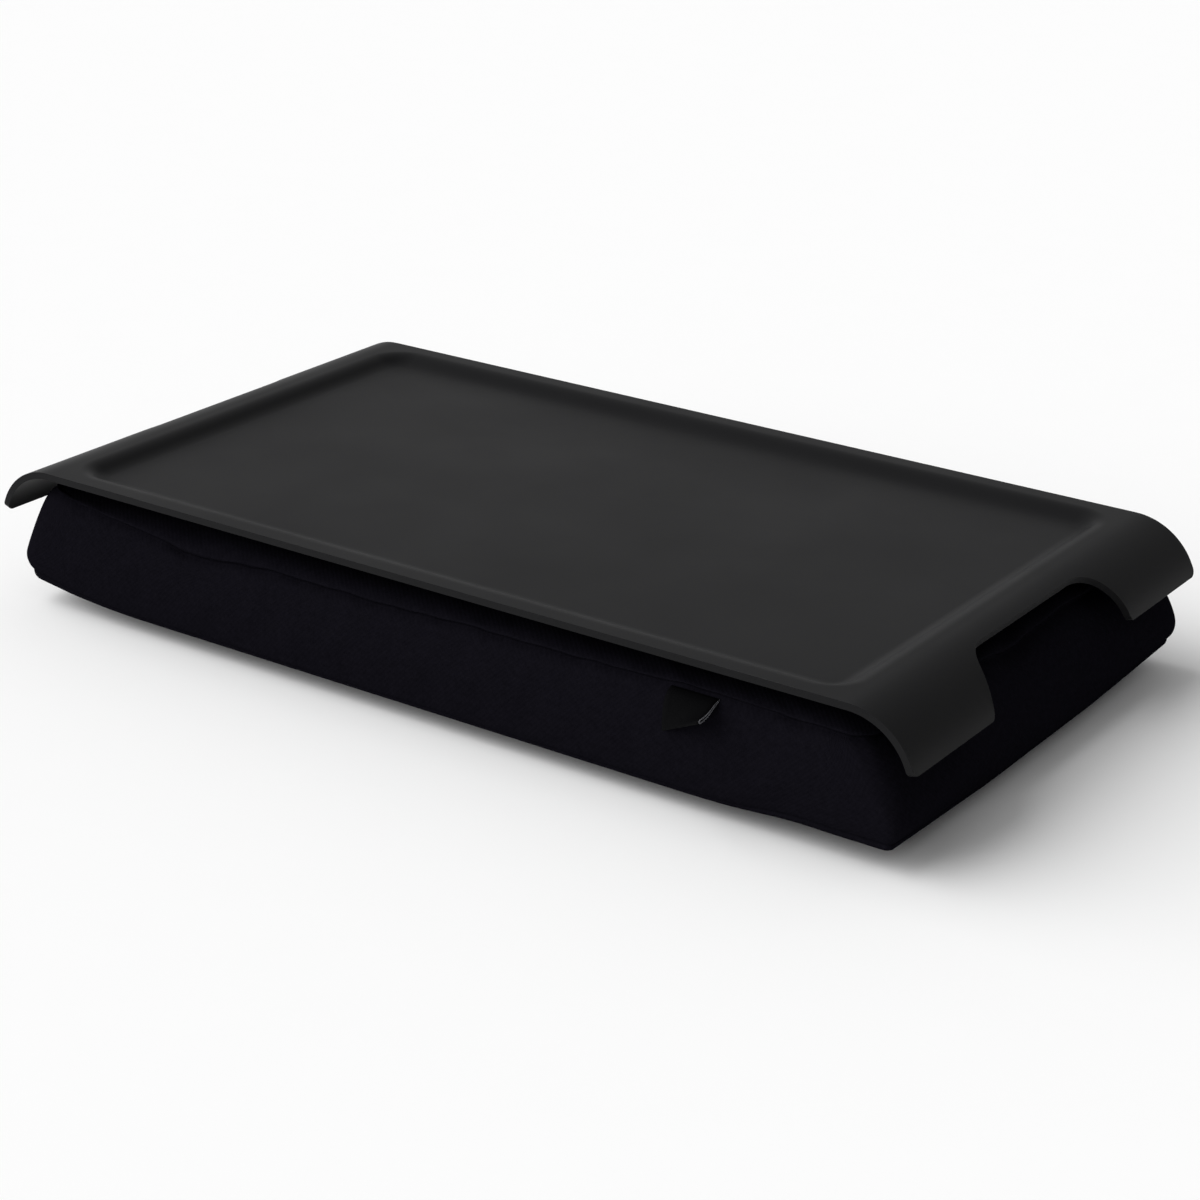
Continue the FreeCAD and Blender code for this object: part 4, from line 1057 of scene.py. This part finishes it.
def pile_tree():
    """Rows of curled strands on a rectangle, each moved and turned a little differently."""
    tree, given, result = new_tree("Fastener pile", Place="Vector", Length="Float", Width="Float",
                                   Spacing="Float", Scatter="Float", Twist="Float", Peak="Vector",
                                   Tip="Vector", Strand="Float", Seed="Int", Material="Material")
    counts = [add(tree, "ShaderNodeMath", {0: given[side], 1: given["Spacing"]}, operation="DIVIDE")
              for side in ("Length", "Width")]
    grid = add(tree, "GeometryNodeMeshGrid", {"Size X": given["Length"], "Size Y": given["Width"],
                                              "Vertices X": counts[0], "Vertices Y": counts[1]})
    moves = []
    for most, axes in ((given["Scatter"], "XY"), (given["Twist"], "Z")):
        least = add(tree, "ShaderNodeMath", {0: most, 1: -1.0}, operation="MULTIPLY")
        ends = [add(tree, "ShaderNodeCombineXYZ", dict.fromkeys(axes, end)) for end in (least, most)]
        limits = {"Min": ends[0], "Max": ends[1], "Seed": given["Seed"]}
        moves.append(add(tree, "FunctionNodeRandomValue", limits, data_type="FLOAT_VECTOR"))
    scatter, twist = moves
    shaken = add(tree, "GeometryNodeSetPosition", {"Geometry": grid, "Offset": scatter})
    placed = add(tree, "GeometryNodeTransform", {"Geometry": shaken, "Translation": given["Place"]})
    curl = add(tree, "GeometryNodeCurveQuadraticBezier", {"Resolution": 6, "Start": (0, 0, 0),
                                                          "Middle": given["Peak"], "End": given["Tip"]})
    curled = strand(tree, curl, given["Strand"], sides=4)
    pile = add(tree, "GeometryNodeInstanceOnPoints", {"Points": placed, "Instance": curled,
                                                      "Rotation": twist})
    whole = add(tree, "GeometryNodeJoinGeometry")
    tree.links.new(given["Geometry"], whole.inputs["Geometry"])
    tree.links.new(plain(tree, pile, given["Material"]), whole.inputs["Geometry"])
    tree.links.new(whole.outputs["Geometry"], result["Geometry"])
    return tree


def coil_tree():
    """A wire wound along X round the middle of a zip's edge."""
    tree, given, result = new_tree("Zip coil", Place="Vector", Length="Float", Radius="Float",
                                   Pitch="Float", Wire="Float", Material="Material")
    turns = add(tree, "ShaderNodeMath", {0: given["Length"], 1: given["Pitch"]}, operation="DIVIDE")
    wound = add(tree, "GeometryNodeCurveSpiral", {"Resolution": 10, "Rotations": turns,
                                                  "Start Radius": given["Radius"],
                                                  "End Radius": given["Radius"],
                                                  "Height": given["Length"]})
    laid = add(tree, "GeometryNodeTransform", {"Geometry": wound, "Translation": given["Place"],
                                               "Rotation": (0, math.pi / 2, 0)})
    wire = strand(tree, laid, given["Wire"], sides=5)
    tree.links.new(plain(tree, wire, given["Material"]), result["Geometry"])
    return tree


def stitch_tree():
    """Stitches of one length laid end to end along the edges of a mesh, with small gaps."""
    tree, given, result = new_tree("Stitch row", Pitch="Float", Stitch="Float", Thread="Float",
                                   Material="Material")
    path = add(tree, "GeometryNodeMeshToCurve", {"Mesh": given["Geometry"]})
    even = add(tree, "GeometryNodeResampleCurve", {"Curve": path, "Length": given["Pitch"]},
               mode="LENGTH")
    heading = add(tree, "FunctionNodeAlignRotationToVector",
                  {"Vector": add(tree, "GeometryNodeInputTangent")}, axis="X")
    ends = []
    for share in (-0.5, 0.5):
        reach = add(tree, "ShaderNodeMath", {0: given["Stitch"], 1: share}, operation="MULTIPLY")
        ends.append(add(tree, "ShaderNodeCombineXYZ", {"X": reach}))
    line = add(tree, "GeometryNodeCurvePrimitiveLine", {"Start": ends[0], "End": ends[1]})
    spaced = add(tree, "GeometryNodeResampleCurve", {"Curve": line, "Count": 6})
    # A stitch is full in its middle and thin where it goes into the cloth.
    turn = add(tree, "ShaderNodeMath", {0: add(tree, "GeometryNodeSplineParameter"), 1: math.pi},
               operation="MULTIPLY")
    swell = add(tree, "ShaderNodeMath", {0: turn}, operation="SINE")
    thick = add(tree, "ShaderNodeMath", {0: swell, 1: 0.6, 2: 0.4}, operation="MULTIPLY_ADD")
    shaped = add(tree, "GeometryNodeSetCurveRadius", {"Curve": spaced, "Radius": thick})
    stitch = strand(tree, shaped, given["Thread"], sides=6)
    row = add(tree, "GeometryNodeInstanceOnPoints", {"Points": even, "Instance": stitch,
                                                     "Rotation": heading})
    tree.links.new(plain(tree, row, given["Material"]), result["Geometry"])
    return tree


# Fastener pads

# Steps round each corner of a pad.
PLATE_STEPS = 6


def plate(low, high, corner):
    """A flat plate with rounded corners in plan."""
    bm = bmesh.new()
    ring = []
    quarters = ((high.x, high.y), (low.x, high.y), (low.x, low.y), (high.x, low.y))
    for quarter, (x, y) in enumerate(quarters):
        start = math.pi / 2 * quarter
        middle = start + math.pi / 4
        centre_x = x - math.copysign(corner, math.cos(middle))
        centre_y = y - math.copysign(corner, math.sin(middle))
        for share in shares(PLATE_STEPS):
            turn = start + math.pi / 2 * share
            ring.append((centre_x + corner * math.cos(turn), centre_y + corner * math.sin(turn)))
    base = bm.faces.new([bm.verts.new((x, y, low.z)) for x, y in ring])
    top = bmesh.ops.extrude_face_region(bm, geom=[base])
    bmesh.ops.translate(bm, vec=(0, 0, high.z - low.z),
                        verts=[item for item in top["geom"] if isinstance(item, bmesh.types.BMVert)])
    bmesh.ops.recalc_face_normals(bm, faces=bm.faces)
    return bm


class LAPTRAY_OT_pads(Operator):
    """Weave the hook strips under the tray and the loop strips on the cushion"""
    bl_idname = "laptray.pads"
    bl_label = "Fastener pads"

    # How far the tip of a strand reaches aside and how high it ends, in shares of its height.
    hook_tip, loop_tip = (0.35, 0.35), (0.9, 0.0)
    # How much lower than the pad a strand's line peaks, in radii of the strand.
    strand_room = 1.6

    def execute(self, context):
        size = settings().fastener
        tree = pile_tree()
        backing = woven_tape("Fastener backing", size.colour, rib=0.5 * MM, roughness=0.7)
        hook = nylon_strand("Hook nylon", size.colour, roughness=0.35)
        loop = nylon_strand("Loop nylon", size.colour, roughness=0.6)
        for corner in CORNERS:
            self.pad(tree, "hook_pad_" + corner, "tray", "hook_strip", -1, self.hook_tip, backing, hook)
            self.pad(tree, "loop_pad_" + corner, "cushion", "loop_strip", 1, self.loop_tip, backing, loop)
        return {"FINISHED"}

    def pad(self, tree, node, body, slot, rise, tip, backing, nylon):
        """One pad, whose strands rise from its backing or hang from it."""
        size = settings().fastener
        low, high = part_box(node)
        seat_low, seat_high = low.copy(), high.copy()
        if rise > 0:
            seat_high.z = low.z + size.backing
        else:
            seat_low.z = high.z - size.backing
        piece = from_faces(node + "_pile", plate(seat_low, seat_high, size.corner), backing, nylon)
        piece.data.set_sharp_from_angle(angle=math.radians(40))
        root = (seat_high if rise > 0 else seat_low).z
        pile = high.z - low.z - size.backing - self.strand_room * size.strand
        aside, ending = tip
        # A curve rises about half as high as the point that it bends towards.
        peak = (aside * pile / 2, 0, 2 * pile * rise * (1 - ending / 2))
        middle = (low + high) / 2
        margin = 2 * size.spacing
        grow(piece, tree, Place=(middle.x, middle.y, root), Length=high.x - low.x - margin,
             Width=high.y - low.y - margin, Spacing=size.spacing, Scatter=size.scatter, Twist=size.twist,
             Peak=peak, Tip=(aside * pile, 0, ending * pile * rise), Strand=size.strand, Seed=size.seed,
             Material=nylon)
        attach(piece, body, slot, node)


# Zip

def stitched(name, paths, thread):
    """A piece of stitches along paths of points."""
    size = settings().zip
    points = []
    edges = []
    for path in paths:
        edges += [(len(points) + i, len(points) + i + 1) for i in range(len(path) - 1)]
        points += path
    mesh = bpy.data.meshes.new(name)
    mesh.from_pydata(points, edges, [])
    piece = new_piece(name, mesh, thread)
    return grow(piece, stitch_tree(), Pitch=size.stitch_pitch, Stitch=size.stitch_length,
                Thread=size.thread_radius, Material=thread)


class LAPTRAY_OT_zip(Operator):
    """Make the zip: its tapes, its two coils, its slider and the stitches that hold it"""
    bl_idname = "laptray.zip"
    bl_label = "Zip"

    # The tape's steps along it, its woven edge, and the height and turn of its slight waves at each step.
    tape_steps, tape_edge, tape_wave, tape_turn = 90, 0.5 * MM, 0.04 * MM, 0.9
    # Distance of the stitches from the edge of a loop pad.
    pad_inset = 1.4 * MM

    def execute(self, context):
        size = settings().zip
        tape = woven_tape("Zip tape", size.tape_colour, rib=0.565 * MM, roughness=0.75)
        nylon = nylon_strand("Zip coil nylon", size.tape_colour, roughness=0.4)
        thread = nylon_strand("Sewing thread", size.tape_colour, roughness=0.6)
        metal = painted_zinc()
        tree = coil_tree()
        for half in ("upper", "lower"):
            self.tape("zip_tape_" + half, tape)
            self.coil(tree, "zip_coil_" + half, nylon)
        for node in ("zip_slider", "zip_pull", "zip_stop_closed", "zip_stop_open"):
            dress(node, metal)
        self.stitches(thread)
        return {"FINISHED"}

    def tape(self, node, material):
        """One half of the tape, woven flat and stretched between its ends."""
        low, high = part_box(node)
        middle = (low + high) / 2
        places = []
        for i, share in enumerate(shares(self.tape_steps)):
            wave = self.tape_wave * math.sin(self.tape_turn * i)
            places.append((low.x + (high.x - low.x) * share, middle.y + wave))
        heights = (low.z, low.z + self.tape_edge, middle.z, high.z - self.tape_edge, high.z)
        bm = bmesh.new()
        patch(bm, [[(x, y, z) for x, y in places] for z in heights])
        piece = from_faces(node + "_weave", bm, material)
        modify(piece, "Wall", "SOLIDIFY", thickness=high.y - low.y, offset=0)
        attach(piece, "cushion", "zip_tape", node)

    def coil(self, tree, node, material):
        """One half of the coil."""
        size = settings().zip
        low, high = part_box(node)
        middle = (low + high) / 2
        piece = new_piece(node + "_wire", bpy.data.meshes.new(node), material)
        grow(piece, tree, Place=(low.x, middle.y, middle.z), Length=high.x - low.x,
             Radius=(high.z - low.z) / 2 - size.coil_wire, Pitch=size.coil_pitch, Wire=size.coil_wire,
             Material=material)
        attach(piece, "cushion", "zip_coil", node)

    def stitches(self, thread):
        """Rows of stitches above and below the slit, and a frame of them on each loop pad."""
        size = settings().zip
        form = CushionForm(settings().cushion)
        rows = []
        for side in (-1, 1):
            height = sum(form.slit) / 2 + side * size.stitch_row
            y = form.row("band", form.slit_share(height)).y
            rows.append([(x, y, height) for x in (-form.zip_end, form.zip_end)])
        attach(stitched("zip_stitches", rows, thread), "cushion", "zip_tape")
        frames = []
        inset = self.pad_inset
        for corner in CORNERS:
            low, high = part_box("loop_pad_" + corner)
            z = low.z + settings().fastener.backing
            x0, x1, y0, y1 = low.x + inset, high.x - inset, low.y + inset, high.y - inset
            frames.append([(x0, y0, z), (x1, y0, z), (x1, y1, z), (x0, y1, z), (x0, y0, z)])
        attach(stitched("pad_stitches", frames, thread), "cushion", "loop_strip")


# Label

class LAPTRAY_OT_label(Operator):
    """Fold the bare label that is caught in the front seam"""
    bl_idname = "laptray.label"
    bl_label = "Seam label"

    # Steps across the label, down it and round its fold.
    steps_across, steps_down, steps_round = 10, 12, 6
    # In millimetres along Y and Z: the seam, from the top of the solid's back. Then from the seam, the
    # two points that the ribbon bends towards and its end, on the left, where it hangs, and on the
    # right, where it stands out.
    seam = (1.9, 0)
    hanging = ((-4.6, -0.4), (-5.4, -6), (-5.2, -14.5))
    standing = ((-6, -1), (-5, -3.4), (-12.4, -3.6))
    # Half of the space between the layers at the seam.
    seam_gap = 0.28 * MM

    def execute(self, context):
        size = settings().label
        low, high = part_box("seam_label")
        bm = bmesh.new()
        patch(bm, [[Vector((low.x + (high.x - low.x) * share, *place))
                    for place in self.section(size, high, share)] for share in shares(self.steps_across)])
        bmesh.ops.recalc_face_normals(bm, faces=bm.faces)
        satin = woven_tape("Label satin", size.colour, rib=0.44 * MM, roughness=0.55)
        piece = from_faces("seam_label_ribbon", bm, satin, pale_label_edge())
        # The rim of the ribbon's wall takes the second, pale grey material.
        modify(piece, "Wall", "SOLIDIFY", thickness=size.wall, offset=0, material_offset_rim=1)
        attach(piece, "cushion", "label_weave", "seam_label")
        return {"FINISHED"}

    def section(self, size, high, share):
        """The folded ribbon at a share of its width, as places in Y and Z."""
        seam = Vector((high.y, high.z)) + Vector(self.seam) * MM
        first, second, last = (seam + Vector(a).lerp(Vector(b), share) * MM
                               for a, b in zip(self.hanging, self.standing))
        down = shares(self.steps_down)
        middle = [seam * (1 - t) ** 3 + 3 * first * t * (1 - t) ** 2
                  + 3 * second * t * t * (1 - t) + last * t ** 3 for t in down]
        outer, inner = [], []
        for i, t in enumerate(down):
            ahead = (middle[min(i + 1, self.steps_down)] - middle[max(i - 1, 0)]).normalized()
            aside = Vector((ahead.y, -ahead.x)) * (self.seam_gap + size.gap / 2 * t)
            outer.append(middle[i] + aside)
            inner.append(middle[i] - aside)
        end = (middle[-1] - middle[-2]).normalized() * aside.length
        turns = [math.pi * share for share in shares(self.steps_round)[1:-1]]
        fold = [middle[-1] + end * math.sin(turn) + aside * math.cos(turn) for turn in turns]
        return outer + fold + inner[::-1]


# Stage

class LAPTRAY_OT_stage(Operator):
    """Set the floor, the lights and the camera"""
    bl_idname = "laptray.stage"
    bl_label = "Stage"

    # Half the width of the floor in metres, and the direction that the light comes from.
    reach = 12
    key_from = (-1.0, -0.6, 0.9)
    # Heights of the sky, as shares of straight up, between which the surroundings change.
    low_sky, high_sky = 0.15, 0.5

    def execute(self, context):
        size = settings().stage
        mesh = bpy.data.meshes.new("floor")
        corners = [(x * self.reach, y * self.reach, 0) for x, y in ((-1, -1), (1, -1), (1, 1), (-1, 1))]
        mesh.from_pydata(corners, [], [(0, 1, 2, 3)])
        new_piece("floor", mesh, paper_floor())
        self.lamp(context.scene, size)
        self.surroundings(context.scene, size)
        self.camera(context.scene, size)
        context.scene.view_settings.view_transform = "Standard"
        return {"FINISHED"}

    def lamp(self, scene, size):
        """An even light over the whole floor from a wide patch of the sky."""
        data = bpy.data.lights.new("key", "SUN")
        data.energy = size.key_strength
        data.angle = size.spread
        lamp = bpy.data.objects.new("key", data)
        lamp.location = self.key_from
        # The lamp is kept out of the gloss, as a studio flag would do.
        lamp.visible_glossy = False
        lamp.rotation_euler = Vector(self.key_from).to_track_quat("Z", "Y").to_euler()
        scene.collection.objects.link(lamp)

    def surroundings(self, scene, size):
        """Soft light from all round, brighter towards the horizon on the left."""
        world = bpy.data.worlds.new("studio")
        scene.world = world
        world.use_nodes = True
        tree = world.node_tree
        place = add(tree, "ShaderNodeTexCoord").outputs["Generated"]
        axes = add(tree, "ShaderNodeSeparateXYZ", {"Vector": place}).outputs
        bands = []
        for left, right in ((size.low_left, size.low_right), (size.high_left, size.high_right)):
            across = {"Value": axes["X"], "From Min": -1.0, "From Max": 1.0,
                      "To Min": left, "To Max": right}
            bands.append(add(tree, "ShaderNodeMapRange", across))
        upward = {"Value": axes["Z"], "From Min": self.low_sky, "From Max": self.high_sky,
                  "To Min": bands[0], "To Max": bands[1]}
        level = add(tree, "ShaderNodeMapRange", upward)
        shader = tree.nodes["Background"]
        shader.inputs["Color"].default_value = (1, 1, 1, 1)
        tree.links.new(level.outputs["Result"], shader.inputs["Strength"])

    def camera(self, scene, size):
        """A camera at a place, turned to the tray and leaning a little."""
        a, e, lean = size.azimuth, size.elevation, size.roll
        back = Vector((math.sin(a) * math.cos(e), -math.cos(a) * math.cos(e), math.sin(e)))
        right = Vector((math.cos(a), math.sin(a), 0))
        up = back.cross(right)
        right, up = (right * math.cos(lean) + up * math.sin(lean),
                     up * math.cos(lean) - right * math.sin(lean))
        data = bpy.data.cameras.new("camera")
        data.lens = size.lens
        data.sensor_width = 36
        camera = bpy.data.objects.new("camera", data)
        turn = Matrix((right, up, back)).transposed().to_4x4()
        camera.matrix_world = Matrix.Translation(Vector(size.camera_place)) @ turn
        scene.collection.objects.link(camera)
        scene.camera = camera


class LAPTRAY_PT_panel(Panel):
    """Buttons for the pieces of the lap tray"""
    bl_label = "Lap tray"
    bl_space_type = "VIEW_3D"
    bl_region_type = "UI"
    bl_category = "Lap tray"

    def draw(self, context):
        for operator in OPERATORS:
            self.layout.operator(operator.bl_idname)


OPERATORS = (LAPTRAY_OT_tray, LAPTRAY_OT_cover, LAPTRAY_OT_inner_cushion, LAPTRAY_OT_pads, LAPTRAY_OT_zip,
             LAPTRAY_OT_label, LAPTRAY_OT_stage)
CLASSES = (TraySettings, CushionSettings, FastenerSettings, ZipSettings, LabelSettings, StageSettings,
           LapTraySettings, *OPERATORS, LAPTRAY_PT_panel)


def register():
    for item in CLASSES:
        bpy.utils.register_class(item)
    bpy.types.Scene.lap_tray = PointerProperty(type=LapTraySettings)


def unregister():
    del bpy.types.Scene.lap_tray
    for item in reversed(CLASSES):
        bpy.utils.unregister_class(item)


def main():
    register()
    for operator in OPERATORS:
        group, name = operator.bl_idname.split(".")
        getattr(getattr(bpy.ops, group), name)()


if __name__ == "__main__":
    main()
